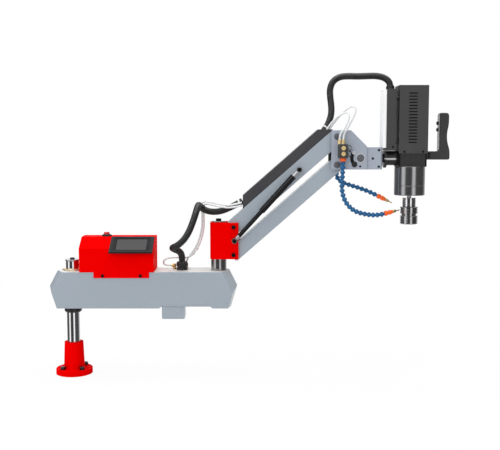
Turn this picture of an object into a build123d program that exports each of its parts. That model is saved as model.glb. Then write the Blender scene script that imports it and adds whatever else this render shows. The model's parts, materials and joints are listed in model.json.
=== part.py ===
from build123d import *

import os
from math import cos, pi, radians, sin, tan

os.makedirs("parts", exist_ok=True)

# Arm tapping machine, in millimetres. The origin is the column's axis on the underside of the bench flange,
# +Z up, +X along the beam towards the spindle, and -Y the side of the control panel.

# Clearances
press_gap = 0.02
running_gap = 0.05
slip_gap = 0.3
thrust_gap = 0.3

# Bench flange and column
flange_r = 59.5
flange_t = 18
flange_chamfer = 1.5
neck_foot_r = 34
neck_top_r = 30.5
neck_top_z = 106
column_r = 21
column_top_z = 375
column_cap_r = 23
column_cap_t = 5
end_screw_depth = 20
cap_screw_r = 5
cap_screw_head_r = 7.5
cap_screw_head_h = 5
bench_pcd = 88
bench_screw_count = 4
bench_screw_turn = 45
bench_screw_r = 5
bench_shank_r = 5.2
bench_screw_head_r = 8
bench_screw_head_h = 10
bench_stud_length = 14
screw_hole_gap = 0.5
collar_r = 28
collar_h = 20
collar_chamfer = 4

# Beam
beam_bottom_z = 226
beam_top_z = 345
beam_half_depth = 55
beam_prow_depth = 40
beam_waist_z = 294
beam_left_top_x = -45
beam_left_waist_x = -72
beam_left_foot_x = -50
beam_right_top_x = 515
beam_right_waist_x = 540
beam_right_foot_x = 520
beam_prow_waist = 14
beam_prow_drop = 18
beam_relief_x0 = 289
beam_relief_x1 = 461
beam_relief_h = 5
beam_relief_rise = 15
beam_relief_set_back = 5
beam_relief_slope = 6
pocket_x0 = 48
pocket_x1 = 256
pocket_half_depth = 40
pocket_floor_t = 14
bush_wall = 5
bush_length = 36
bush_flange_r = 32
bush_flange_t = 5
under_block_x0 = 297
under_block_x1 = 371
under_block_h = 41
under_block_y0 = -50
under_block_depth = 54
under_block_chamfer = 3

# Control box on the beam
box_x0 = 33
box_x1 = 273
box_back_y = 50
box_sheet = 2
box_fold_z = 422
box_crest_y = -5
box_top_z = 454
skirt_x0 = 79
skirt_x1 = 258
skirt_h = 19
skirt_screw_x = (108, 229.5)
skirt_screw_z = 333
skirt_screw_r = 2.5
skirt_screw_head_r = 5
skirt_screw_head_h = 2.5
panel_centre_x = 201.5
panel_width = 140
panel_height = 84
panel_t = 5
panel_screen_width = 97
panel_screen_height = 55
panel_screen_t = 1.5
panel_shift = 15
button_x = 112
button_y = 14
button_r = 9
button_h = 14
button_stroke = 4
button_hole_gap = 0.4
supply_size_x = 150
supply_size_y = 60
supply_size_z = 42

# Cable gland and air fittings on the beam
gland_x = 360
gland_r = 20
gland_foot_h = 10
gland_hex_r = 19
gland_hex_h = 18
fitting_r = 6
fitting_y = 14
fitting_x = 334
fitting_rise = 16
fitting_nose = 11
second_fitting_x = 372
second_fitting_y = 30
second_fitting_h = 15

# Elbow
elbow_x = 480
elbow_shaft_r = 15
elbow_spacer_r = 25.5
elbow_block_x0 = 453
elbow_block_x1 = 545
elbow_block_z0 = 384
elbow_block_z1 = 502
elbow_block_half_depth = 36
elbow_block_round = 16
elbow_bush_wall = 4
elbow_bush_length = 30
elbow_cap_r = 22.5
elbow_cap_t = 4
elbow_cap_screw_r = 6
elbow_cap_screw_head_r = 9
elbow_cap_screw_head_h = 7
clevis_slot_x = 503.5
clevis_gap = 1.3

# Parallelogram arm
arm_pivot_x = 529
lower_pivot_z = 398
pivot_spacing = 90
arm_length = 441
arm_angle = 41.3
link_half_width = 27
link_wall = 6
upper_link_height = 49
lower_link_height = 46
link_overhang = 8
link_corner = 5
elbow_bolt_r = 5
elbow_bolt_head_r = 6.5
elbow_bolt_head_h = 6
cover_half_width = 25
cover_sheet = 1.5
cover_height = 32
cover_start = 30
cover_rise = 22.9
stop_reach = 23.3
stop_width = 13
stop_half_width = 18

# Gas spring
spring_lower_x = 532.6
spring_lower_z = 444.8
spring_upper_reach = 281
spring_y = -45
spring_cylinder_r = 10
spring_bore_r = 7.4
spring_rod_r = 7
spring_cylinder_start = 28
spring_cylinder_length = 152
spring_cylinder_floor = 6
spring_rod_inside = 110
spring_eye_half_width = 5
spring_eye_r = 9
spring_neck_r = 4.8
spring_neck_length = 3
spring_neck_root = 2
spring_ferrule_r = 6.5
spring_lower_end_length = 22
spring_stud_r = 4
stud_inset = 0.2
spring_stud_collar_r = 6.5
spring_stud_head_r = 6.5
spring_stud_head_h = 5
open_pivot_gap = 2.3

# Head bracket. All the head is drawn from its lower pivot, so its sizes count from there.
bracket_x0 = -18.3
bracket_x1 = 94.7
bracket_z0 = -15.1
bracket_z1 = 109.9
bracket_cut = 51
bracket_half_depth = 42
bracket_plate_t = 6
bracket_web_x = 28.7
bracket_web_t = 9
head_pin_r = 10
tilt_x = 74.7
tilt_z = 21.4
tilt_pin_r = 14
slot_path_r = 28
slot_half_width = 5.5
slot_start_angle = 142
slot_end_angle = 226
index_hole_x = 73.7
index_hole_z = -5.1
index_hole_r = 3.5
stop_screw_r = 5
stop_screw_head_r = 9
stop_screw_head_h = 2.5
stop_screw_gap = 0.5

# Coolant valves, fittings and hoses
valve_x = 16.7
valve_half_width = 15
valve_z0 = 21.9
valve_z1 = 65.9
valve_depth = 30
rear_outlet_h = 30
rear_outlet_depth = 26
cross_pipe_r = 5
valve_cap_r = 7
valve_cap_h = 5
valve_cap_pitch = 18
tube_fitting_r = 5.5
tube_fitting_h = 14
tube_fitting_spread = 6
tube_fitting_shift = 5
lever_r = 6.5
lever_stem_r = 3
lever_stem_depth = 9
lever_stem_end_gap = 1
lever_hub_t = 5
lever_wing_t = 2
lever_wing_length = 9
lever_wing_width = 6
lever_wing_overrun = 8
nut_r = 9
nut_h = 11
coolant_hose_r = 7
nozzle_body_r = 7.5
nozzle_body_length = 30
nozzle_cone_r = 5
nozzle_cone_length = 12
nozzle_tip_r = 1.5
nozzle_tip_length = 12
front_hose_y = -58
rear_hose_y = 56

# Tilt knuckle
knuckle_x1 = 145.2
knuckle_z0 = -15.1
knuckle_z1 = 55.9
knuckle_bevel = 5
knuckle_clear = 0.3
knuckle_round = 34
roll_z = 20.9
roll_shaft_r = 14
roll_shaft_x0 = 105.7
roll_hole_end_gap = 1
knuckle_screw_r = 4
knuckle_screw_depth = 10
knuckle_screw_socket_r = 2
knuckle_screw_sink = 1
knuckle_screw_places = ((134.2, 46.4), (114.7, 19.9), (134.2, -6.1))
clamp_stud_r = 3
clamp_stud_depth = 12
clamp_knob_r = 5
clamp_knob_h = 3
clamp_knob_gap = 0.5

# Motor head
journal_flange_x0 = 153.7
journal_flange_x1 = 161.7
journal_flange_r = 31.5
journal_flat_z = 44.3
journal_r = 23.25
spindle_x = 239.7
head_half_depth = 45
left_plate_x0 = 195.7
left_plate_x1 = 201.7
right_plate_x1 = 285.7
gearbox_x1 = 280.7
gearbox_z0 = -6.1
cover_base_z = 35.9
head_cover_x0 = 195.7
head_cover_x1 = 288.7
head_cover_z1 = 251.9
head_cover_sheet = 1.5
gearbox_rim_h = 12
gearbox_bore_gap = 2
vent_count = 17
vent_pitch = 9.7
vent_width = 28
vent_height = 4
vent_centre_z = 148.9
motor_half_width = 35
motor_h = 150
motor_flange_half_width = 40
motor_flange_t = 10
controller_x0 = 156.7
controller_x1 = 186.7
controller_z0 = 44.9
controller_z1 = 240.9
controller_half_depth = 40
controller_boss_r = 5
controller_boss_spread_y = 56
controller_boss_spread_z = 140
heat_sink_x0 = 146.7
heat_sink_base_t = 3
heat_sink_fin_count = 11
heat_sink_fin_t = 2.4
heat_sink_margin = 3

# Spindle and chuck
housing_r = 50
housing_z0 = -99.1
housing_groove_z = -68.1
housing_groove = 1
spindle_r = 12
stub_r = 7
adapter_r = 22
adapter_z1 = -107.1
chuck_r = 29
chuck_z0 = -193.1
chuck_z1 = -136.1
chuck_bore_r = 15.5
chuck_bore_depth = 40
sleeve_z1 = -165.1
sleeve_stroke = 5
sleeve_end_gap = 1
sleeve_wall = 5

# Handle
handle_x1 = 365.7
handle_z0 = 15.9
handle_arm_h = 27
handle_half_width = 14
grip_x0 = 330.7
grip_x1 = 361.7
grip_z1 = 165.9
grip_round = 5
grip_hole_depth = 8
grip_button_z = (132.9, 111.9)
grip_button_half = 6
grip_button_out = 7
grip_button_stroke = 3
grip_button_gap = 0.4
grip_button_end_gap = 1

# Hoses and tubes
cable_hose_r = 11
hose_end_x = 172.7
tube_r = 3

# Values worked out from those above
collar_z1 = beam_bottom_z - thrust_gap
bush_r = column_r + running_gap + bush_wall
upper_pivot_z = lower_pivot_z + pivot_spacing
arm_turn = radians(arm_angle)
arm_cos = cos(arm_turn)
arm_sin = sin(arm_turn)
head_pivot_x = arm_pivot_x + arm_length * arm_cos
head_lower_z = lower_pivot_z + arm_length * arm_sin
head_upper_z = head_lower_z + pivot_spacing
cover_left_x = arm_pivot_x + cover_start
cover_top_z = head_upper_z + cover_rise
stop_x0 = head_pivot_x - stop_reach
stop_x1 = stop_x0 + stop_width
spring_upper_x = arm_pivot_x + spring_upper_reach * arm_cos
spring_upper_z = upper_pivot_z + spring_upper_reach * arm_sin
spring_start = Vector(spring_upper_x, spring_y, spring_upper_z)
spring_end_point = Vector(spring_lower_x, spring_y, spring_lower_z)
spring_length = (spring_end_point - spring_start).length
spring_way = (spring_end_point - spring_start).normalized()
valve_face_y = -bracket_half_depth - valve_depth
head_place = Location((head_pivot_x, 0, head_lower_z))
stud_end_depth = -spring_y + spring_eye_half_width + thrust_gap


def front_plane(x, y, z):
    """A plane that faces the panel side, its x along +X and its y along +Z."""
    return Plane(origin=(x, y, z), x_dir=(1, 0, 0), z_dir=(0, -1, 0))


def arm_plane(pivot_z):
    """The panel-side plane of a link: its origin in the pivot at the elbow, its x along the link."""
    return Plane(origin=(arm_pivot_x, 0, pivot_z), x_dir=(arm_cos, 0, arm_sin), z_dir=(0, -1, 0))


def cap_screw(shank_r, shank_length, head_r, head_h):
    """A socket head screw whose head stands on z = 0 and whose shank hangs below."""
    with BuildPart(mode=Mode.PRIVATE) as screw:
        Cylinder(head_r, head_h, align=(Align.CENTER, Align.CENTER, Align.MIN))
        chamfer(screw.edges().filter_by(GeomType.CIRCLE).sort_by(Axis.Z)[-1], head_h * 0.12)
        with BuildSketch(Plane.XY.offset(head_h)):
            RegularPolygon(head_r * 0.5, 6)
        extrude(amount=-head_h * 0.5, mode=Mode.SUBTRACT)
        Cylinder(shank_r, shank_length, align=(Align.CENTER, Align.CENTER, Align.MAX))
    return screw.part


def eased_radii(spots):
    """The radius at each corner of a route, as large as the two runs beside it allow."""
    radii = []
    for before, here, after in zip(spots, spots[1:], spots[2:]):
        turn = (here - before).get_angle(after - here)
        shorter = min((here - before).length, (after - here).length)
        radii.append(0.45 * shorter / tan(radians(turn) / 2))
    print("least bend radius", round(min(radii), 1), "of", len(spots), "points")
    return radii


def tube_solid(points, tube_radius):
    """A round line of straight runs joined by tangent arcs."""
    spots = [Vector(*point) for point in points]
    with BuildPart(mode=Mode.PRIVATE) as tube:
        with BuildLine() as route:
            FilletPolyline(*spots, radius=eased_radii(spots))
        path = route.wire()
        with BuildSketch(Plane(origin=path @ 0, z_dir=path % 0)):
            Circle(tube_radius)
        sweep(path=path)
    expected = pi * tube_radius**2 * path.length
    print("length", round(path.length), "volume share", round(tube.part.volume / expected, 4))
    return tube.part


def save(piece, label, place=Location((0, 0, 0))):
    """Name a finished piece, set it in its place and write it to its own file."""
    piece.part.label = label
    export_step(piece.part.moved(place), f"parts/{label}.step")


# Base

with BuildPart() as base_flange:
    with BuildSketch(Plane.XZ):
        with BuildLine():
            Polyline(
                (column_r + press_gap, 0),
                (flange_r, 0),
                (flange_r, flange_t),
                (neck_foot_r, flange_t),
                (neck_top_r, neck_top_z),
                (column_r + press_gap, neck_top_z),
                close=True,
            )
        make_face()
    revolve(axis=Axis.Z)
    top_edges = base_flange.edges().filter_by(GeomType.CIRCLE).filter_by_position(Axis.Z, flange_t, flange_t)
    chamfer(top_edges.sort_by(SortBy.RADIUS)[-1], flange_chamfer)
    with PolarLocations(bench_pcd / 2, bench_screw_count, start_angle=bench_screw_turn):
        Hole(bench_shank_r + screw_hole_gap)
save(base_flange, "base_flange")

with BuildPart() as base_screws:
    with Locations((0, 0, flange_t)):
        with PolarLocations(bench_pcd / 2, bench_screw_count, start_angle=bench_screw_turn):
            add(cap_screw(bench_shank_r, flange_t, bench_screw_head_r, bench_screw_head_h))
    with PolarLocations(bench_pcd / 2, bench_screw_count, start_angle=bench_screw_turn):
        Cylinder(bench_screw_r, bench_stud_length, align=(Align.CENTER, Align.CENTER, Align.MAX))
    with Locations((0, 0, column_top_z + column_cap_t)):
        add(cap_screw(cap_screw_r, column_cap_t + end_screw_depth, cap_screw_head_r, cap_screw_head_h))
save(base_screws, "base_screws")

with BuildPart() as base_column:
    with BuildSketch():
        Circle(column_r)
    extrude(amount=column_top_z)
    chamfer(base_column.faces().sort_by(Axis.Z)[-1].edges(), 1)
    with Locations((0, 0, column_top_z)):
        Hole(cap_screw_r + press_gap, depth=column_cap_t + end_screw_depth)
save(base_column, "base_column")

with BuildPart() as column_cap:
    with BuildSketch(Plane.XY.offset(column_top_z)):
        Circle(column_cap_r)
        Circle(cap_screw_r + screw_hole_gap, mode=Mode.SUBTRACT)
    extrude(amount=column_cap_t)
    chamfer(column_cap.edges().filter_by(GeomType.CIRCLE).sort_by(SortBy.RADIUS)[-2:], 0.8)
save(column_cap, "column_cap")

with BuildPart() as support_collar:
    with BuildSketch(Plane.XY.offset(collar_z1 - collar_h)):
        Circle(collar_r)
        Circle(column_r + press_gap, mode=Mode.SUBTRACT)
    extrude(amount=collar_h)
    chamfer(support_collar.faces().sort_by(Axis.Z)[0].edges().sort_by(SortBy.RADIUS)[-1], collar_chamfer)
save(support_collar, "support_collar")


# Beam

def beam_end_planes(side, waist_x, top_x, foot_x):
    """The outward planes that cut one end of the beam back towards its front and rear faces."""
    planes = []
    for face in (-1, 1):
        inner_y = face * (beam_half_depth - beam_prow_depth)
        outer_y = face * beam_half_depth
        waist = Vector(waist_x, inner_y, beam_waist_z)
        waist_out = Vector(waist_x - side * beam_prow_waist, outer_y, beam_waist_z - beam_prow_drop)
        for corner_x, corner_z in ((top_x, beam_top_z), (foot_x, beam_bottom_z)):
            corner = Vector(corner_x, inner_y, corner_z)
            normal = (waist_out - waist).cross(corner - waist)
            outward = 1 if normal.X * side > 0 else -1
            planes.append(Plane(origin=waist, z_dir=normal * outward))
    return planes


with BuildPart() as beam_casting:
    with BuildSketch(Plane.XZ):
        with BuildLine():
            Polyline(
                (beam_left_top_x, beam_top_z),
                (beam_left_waist_x, beam_waist_z),
                (beam_left_foot_x, beam_bottom_z),
                (beam_relief_x0, beam_bottom_z),
                (beam_relief_x0 + beam_relief_slope, beam_bottom_z + beam_relief_h),
                (beam_relief_x1 - beam_relief_slope, beam_bottom_z + beam_relief_h),
                (beam_relief_x1, beam_bottom_z),
                (beam_right_foot_x, beam_bottom_z),
                (beam_right_waist_x, beam_waist_z),
                (beam_right_top_x, beam_top_z),
                close=True,
            )
        make_face()
    extrude(amount=beam_half_depth, both=True)
    for cut in beam_end_planes(-1, beam_left_waist_x, beam_left_top_x, beam_left_foot_x):
        split(bisect_by=cut, keep=Keep.BOTTOM)
    for cut in beam_end_planes(1, beam_right_waist_x, beam_right_top_x, beam_right_foot_x):
        split(bisect_by=cut, keep=Keep.BOTTOM)
    for side in (-1, 1):
        edge_y = side * beam_half_depth
        inner_y = side * (beam_half_depth - beam_relief_set_back)
        with BuildSketch(Plane.YZ.offset(beam_relief_x0 + beam_relief_slope)):
            with BuildLine():
                Polyline(
                    (edge_y, beam_bottom_z),
                    (edge_y, beam_bottom_z + beam_relief_rise),
                    (inner_y, beam_bottom_z + beam_relief_h),
                    (inner_y, beam_bottom_z),
                    close=True,
                )
            make_face()
        extrude(amount=beam_relief_x1 - beam_relief_x0 - 2 * beam_relief_slope, mode=Mode.SUBTRACT)
    with BuildSketch(Plane.XY.offset(beam_top_z)):
        with Locations(((pocket_x0 + pocket_x1) / 2, 0)):
            Rectangle(pocket_x1 - pocket_x0, 2 * pocket_half_depth)
    extrude(amount=beam_bottom_z + pocket_floor_t - beam_top_z, mode=Mode.SUBTRACT)
    with Locations((0, 0, beam_top_z)):
        Hole(bush_r + press_gap)
    with Locations((elbow_x, 0, beam_top_z)):
        Hole(elbow_shaft_r + press_gap)
save(beam_casting, "beam_casting")

with BuildPart() as column_bushes:
    with BuildSketch(Plane.XY.offset(beam_bottom_z)):
        Circle(bush_r)
        Circle(column_r + running_gap, mode=Mode.SUBTRACT)
    extrude(amount=bush_length)
    with BuildSketch(Plane.XY.offset(beam_top_z - bush_length)):
        Circle(bush_r)
        Circle(column_r + running_gap, mode=Mode.SUBTRACT)
    extrude(amount=bush_length)
    with BuildSketch(Plane.XY.offset(beam_top_z)):
        Circle(bush_flange_r)
        Circle(column_r + running_gap, mode=Mode.SUBTRACT)
    extrude(amount=bush_flange_t)
    chamfer(column_bushes.faces().sort_by(Axis.Z)[-1].edges().sort_by(SortBy.RADIUS)[-1], 1)
save(column_bushes, "column_bushes")

with BuildPart() as under_block:
    with BuildSketch(Plane.XY.offset(beam_bottom_z + beam_relief_h - under_block_h)):
        with Locations(((under_block_x0 + under_block_x1) / 2, under_block_y0 + under_block_depth / 2)):
            Rectangle(under_block_x1 - under_block_x0, under_block_depth)
    extrude(amount=under_block_h)
    chamfer(under_block.faces().sort_by(Axis.Z)[0].edges(), under_block_chamfer)
save(under_block, "under_block")

box_front_y = -beam_half_depth - box_sheet


def box_outline(inset):
    """The control box seen from its end, drawn back from the outside by the inset."""
    slope = (box_top_z - box_fold_z) / (box_crest_y - box_front_y)
    rise = inset * (1 + slope**2) ** 0.5
    run = rise - inset
    Polyline(
        (box_front_y + inset, beam_top_z),
        (box_front_y + inset, box_fold_z - rise + inset * slope),
        (box_crest_y + run / slope, box_top_z - inset),
        (box_back_y - inset, box_top_z - inset),
        (box_back_y - inset, beam_top_z),
        close=True,
    )


box_middle_x = (box_x0 + box_x1) / 2
with BuildPart() as control_cover:
    with BuildSketch(Plane.YZ.offset(box_middle_x)):
        with BuildLine():
            box_outline(0)
        make_face()
    extrude(amount=(box_x1 - box_x0) / 2, both=True)
    with BuildSketch(Plane.YZ.offset(box_middle_x)):
        with BuildLine():
            box_outline(box_sheet)
        make_face()
    extrude(amount=(box_x1 - box_x0) / 2 - box_sheet, both=True, mode=Mode.SUBTRACT)
    with BuildSketch(Plane.XZ.offset(beam_half_depth)):
        with Locations(((skirt_x0 + skirt_x1) / 2, beam_top_z - skirt_h / 2)):
            Rectangle(skirt_x1 - skirt_x0, skirt_h)
    extrude(amount=box_sheet)
    with Locations(*[front_plane(x, box_front_y, skirt_screw_z) for x in skirt_screw_x]):
        Hole(skirt_screw_r + screw_hole_gap, depth=box_sheet)
    with Locations((button_x, button_y, box_top_z)):
        Hole(button_r + button_hole_gap, depth=box_sheet)
save(control_cover, "control_cover")

panel_plane = Plane(
    origin=(panel_centre_x, (box_front_y + box_crest_y) / 2, (box_fold_z + box_top_z) / 2),
    x_dir=(1, 0, 0),
    z_dir=(0, box_fold_z - box_top_z, box_crest_y - box_front_y),
)
with BuildPart() as hmi_bezel:
    with BuildSketch(panel_plane):
        with Locations((0, -panel_shift)):
            Rectangle(panel_width, panel_height)
    extrude(amount=panel_t, taper=6)
    with BuildSketch(panel_plane.offset(panel_t)):
        with Locations((0, -panel_shift)):
            Rectangle(panel_screen_width, panel_screen_height)
    extrude(amount=-panel_screen_t, mode=Mode.SUBTRACT)
save(hmi_bezel, "hmi_bezel")

with BuildPart() as hmi_screen:
    with BuildSketch(panel_plane.offset(panel_t - panel_screen_t)):
        with Locations((0, -panel_shift)):
            Rectangle(panel_screen_width, panel_screen_height)
    extrude(amount=panel_screen_t / 2)
save(hmi_screen, "hmi_screen")

with BuildPart() as power_supply:
    with BuildSketch(Plane.XY.offset(beam_bottom_z + pocket_floor_t)):
        with Locations(((pocket_x0 + pocket_x1) / 2, 0)):
            Rectangle(supply_size_x, supply_size_y)
    extrude(amount=supply_size_z)
    fillet(power_supply.edges().filter_by(Axis.Z), 2)
save(power_supply, "power_supply")

with BuildPart() as start_button:
    with BuildSketch(Plane.XY.offset(box_top_z - box_sheet - button_stroke)):
        with Locations((button_x, button_y)):
            Circle(button_r)
    extrude(amount=box_sheet + button_stroke + button_h)
    fillet(start_button.faces().sort_by(Axis.Z)[-1].edges(), 2)
save(start_button, "start_button")

with BuildPart() as beam_screws:
    for screw_x in skirt_screw_x:
        with Locations(front_plane(screw_x, box_front_y, skirt_screw_z)):
            add(cap_screw(skirt_screw_r, box_sheet, skirt_screw_head_r, skirt_screw_head_h))
    with Locations((elbow_x, 0, elbow_block_z1 + thrust_gap + elbow_cap_t)):
        add(
            cap_screw(
                elbow_cap_screw_r,
                elbow_cap_t + end_screw_depth,
                elbow_cap_screw_head_r,
                elbow_cap_screw_head_h,
            )
        )
save(beam_screws, "beam_screws")

with BuildPart() as cable_gland:
    with BuildSketch(Plane.XY.offset(beam_top_z)):
        with Locations((gland_x, 0)):
            Circle(gland_r)
    extrude(amount=gland_foot_h)
    with BuildSketch(Plane.XY.offset(beam_top_z + gland_foot_h)):
        with Locations((gland_x, 0)):
            RegularPolygon(gland_hex_r, 6)
    extrude(amount=gland_hex_h)
    chamfer(cable_gland.faces().sort_by(Axis.Z)[-1].edges(), 2)
save(cable_gland, "cable_gland")

with BuildPart() as air_fittings:
    with BuildSketch(Plane.XY.offset(beam_top_z)):
        with Locations((fitting_x, fitting_y), (second_fitting_x, second_fitting_y)):
            Circle(fitting_r)
    extrude(amount=second_fitting_h)
    with BuildSketch(Plane(origin=(fitting_x, fitting_y, beam_top_z + fitting_rise), z_dir=(-1, 0, 0))):
        Circle(fitting_r - 1)
    extrude(amount=fitting_nose)
    with Locations((fitting_x, fitting_y, beam_top_z + fitting_rise)):
        Sphere(fitting_r)
save(air_fittings, "air_fittings")

elbow_cap_z = elbow_block_z1 + thrust_gap
with BuildPart() as elbow_shaft:
    with BuildSketch(Plane.XY.offset(beam_bottom_z)):
        with Locations((elbow_x, 0)):
            Circle(elbow_shaft_r)
    extrude(amount=elbow_cap_z - beam_bottom_z)
    with Locations((elbow_x, 0, elbow_cap_z)):
        Hole(elbow_cap_screw_r + press_gap, depth=end_screw_depth)
save(elbow_shaft, "elbow_shaft")

with BuildPart() as elbow_rings:
    with BuildSketch(Plane.XY.offset(elbow_cap_z)):
        with Locations((elbow_x, 0)):
            Circle(elbow_cap_r)
            Circle(elbow_cap_screw_r + screw_hole_gap, mode=Mode.SUBTRACT)
    extrude(amount=elbow_cap_t)
    chamfer(elbow_rings.faces().sort_by(Axis.Z)[-1].edges().sort_by(SortBy.RADIUS)[-1], 1)
    with BuildSketch(Plane.XY.offset(beam_top_z)):
        with Locations((elbow_x, 0)):
            Circle(elbow_spacer_r)
            Circle(elbow_shaft_r + press_gap, mode=Mode.SUBTRACT)
    extrude(amount=elbow_block_z0 - thrust_gap - beam_top_z)
save(elbow_rings, "elbow_rings")


# Elbow block

elbow_bush_r = elbow_shaft_r + running_gap + elbow_bush_wall
with BuildPart() as elbow_block:
    with BuildSketch(Plane.XY.offset(elbow_block_z0)):
        with Locations(((elbow_block_x0 + elbow_block_x1) / 2, 0)):
            Rectangle(elbow_block_x1 - elbow_block_x0, 2 * elbow_block_half_depth)
    extrude(amount=elbow_block_z1 - elbow_block_z0)
    fillet(elbow_block.edges().filter_by(Axis.Z).group_by(Axis.X)[0], elbow_block_round)
    with BuildSketch(Plane.XY.offset(elbow_block_z0)):
        with Locations(((clevis_slot_x + elbow_block_x1) / 2, 0)):
            Rectangle(elbow_block_x1 - clevis_slot_x, 2 * (link_half_width + clevis_gap))
    extrude(amount=elbow_block_z1 - elbow_block_z0, mode=Mode.SUBTRACT)
    with Locations((elbow_x, 0, elbow_block_z1)):
        Hole(elbow_bush_r + press_gap)
    with Locations(*[front_plane(arm_pivot_x, 0, z) for z in (lower_pivot_z, upper_pivot_z)]):
        Hole(elbow_bolt_r + press_gap)
    with Locations(front_plane(spring_lower_x, -elbow_block_half_depth, spring_lower_z)):
        Hole(spring_stud_r + press_gap, depth=elbow_block_half_depth - link_half_width)
save(elbow_block, "elbow_block")

with BuildPart() as elbow_bushes:
    for bush_z in (elbow_block_z0, elbow_block_z1 - elbow_bush_length):
        with BuildSketch(Plane.XY.offset(bush_z)):
            with Locations((elbow_x, 0)):
                Circle(elbow_bush_r)
                Circle(elbow_shaft_r + running_gap, mode=Mode.SUBTRACT)
        extrude(amount=elbow_bush_length)
save(elbow_bushes, "elbow_bushes")

with BuildPart() as elbow_bolts:
    for pivot_z in (lower_pivot_z, upper_pivot_z):
        with Locations(front_plane(arm_pivot_x, -elbow_block_half_depth, pivot_z)):
            add(
                cap_screw(
                    elbow_bolt_r, 2 * elbow_block_half_depth, elbow_bolt_head_r, elbow_bolt_head_h
                )
            )
    with BuildSketch(front_plane(spring_lower_x, -link_half_width - clevis_gap - stud_inset, spring_lower_z)):
        Circle(spring_stud_r)
    extrude(amount=stud_end_depth - link_half_width - clevis_gap - stud_inset)
    with BuildSketch(front_plane(spring_lower_x, -elbow_block_half_depth, spring_lower_z)):
        Circle(spring_stud_collar_r)
    extrude(amount=-spring_y - spring_eye_half_width - thrust_gap - elbow_block_half_depth)
    with Locations(
        front_plane(spring_lower_x, spring_y - spring_eye_half_width - thrust_gap, spring_lower_z)
    ):
        add(cap_screw(spring_stud_r, 1, spring_stud_head_r, spring_stud_head_h))
save(elbow_bolts, "elbow_bolts")


# Arm

def link_bar(pivot_z, height):
    """A link of rectangular tube, with its corners cut and its two pivots bored."""
    plane = arm_plane(pivot_z)
    with BuildPart(mode=Mode.PRIVATE) as bar:
        with BuildSketch(plane):
            with Locations((arm_length / 2, 0)):
                Rectangle(arm_length + 2 * link_overhang, height)
        extrude(amount=link_half_width, both=True)
        chamfer(bar.edges().filter_by(Axis.Y), link_corner)
        with BuildSketch(plane):
            with Locations((arm_length / 2, 0)):
                Rectangle(arm_length + 2 * link_overhang, height - 2 * link_wall)
        extrude(amount=link_half_width - link_wall, both=True, mode=Mode.SUBTRACT)
        for along, pin_r in ((0, elbow_bolt_r), (arm_length, head_pin_r)):
            with BuildSketch(plane):
                with Locations((along, 0)):
                    Circle(pin_r + running_gap)
            extrude(amount=link_half_width, both=True, mode=Mode.SUBTRACT)
    return bar.part


with BuildPart() as upper_link:
    add(link_bar(upper_pivot_z, upper_link_height))
    with Locations(front_plane(spring_upper_x, -link_half_width, spring_upper_z)):
        Hole(spring_stud_r + press_gap, depth=link_wall)
save(upper_link, "upper_link")

with BuildPart() as lower_link:
    add(link_bar(lower_pivot_z, lower_link_height))
save(lower_link, "lower_link")


def arm_line_z(x, offset):
    """The height, at x, of a line that runs along the upper link at a perpendicular offset."""
    return upper_pivot_z + (x - arm_pivot_x) * tan(arm_turn) + offset / arm_cos


def arm_line_x(z, offset):
    """Where the same line reaches the height z."""
    return arm_pivot_x + (z - upper_pivot_z - offset / arm_cos) / tan(arm_turn)


def cover_side(inset):
    """The side outline of the arm cover, with its top drawn in by the inset."""
    low = upper_link_height / 2
    high = low + cover_height - inset
    Polyline(
        (cover_left_x, arm_line_z(cover_left_x, low)),
        (cover_left_x, arm_line_z(cover_left_x, high)),
        (arm_line_x(cover_top_z, high), cover_top_z),
        (arm_line_x(cover_top_z, low), cover_top_z),
        close=True,
    )


with BuildPart() as arm_cover:
    with BuildSketch(Plane.XZ):
        with BuildLine():
            cover_side(0)
        make_face()
    extrude(amount=cover_half_width, both=True)
    with BuildSketch(Plane.XZ):
        with BuildLine():
            cover_side(cover_sheet)
        make_face()
    extrude(amount=cover_half_width - cover_sheet, both=True, mode=Mode.SUBTRACT)
save(arm_cover, "arm_cover")

with BuildPart() as spring_stud:
    with BuildSketch(front_plane(spring_upper_x, -link_half_width + link_wall, spring_upper_z)):
        Circle(spring_stud_r)
    extrude(amount=stud_end_depth - link_half_width + link_wall)
    with BuildSketch(front_plane(spring_upper_x, -link_half_width, spring_upper_z)):
        Circle(spring_stud_collar_r)
    extrude(amount=-spring_y - spring_eye_half_width - thrust_gap - link_half_width)
    with Locations(
        front_plane(spring_upper_x, spring_y - spring_eye_half_width - thrust_gap, spring_upper_z)
    ):
        add(cap_screw(spring_stud_r, 1, spring_stud_head_r, spring_stud_head_h))
save(spring_stud, "spring_stud")

lower_link_top = -pivot_spacing * arm_cos + lower_link_height / 2 + slip_gap
with BuildPart() as link_stop:
    with BuildSketch(Plane.XZ):
        with BuildLine():
            Polyline(
                (stop_x0, arm_line_z(stop_x0, -upper_link_height / 2)),
                (stop_x1, arm_line_z(stop_x1, -upper_link_height / 2)),
                (stop_x1, arm_line_z(stop_x1, lower_link_top)),
                (stop_x0, arm_line_z(stop_x0, lower_link_top)),
                close=True,
            )
        make_face()
    extrude(amount=stop_half_width, both=True)
save(link_stop, "link_stop")


# Gas spring

def spring_plane(along):
    """The plane across the gas spring at a distance from its upper stud."""
    return Plane(origin=spring_start + spring_way * along, z_dir=spring_way)


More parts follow.
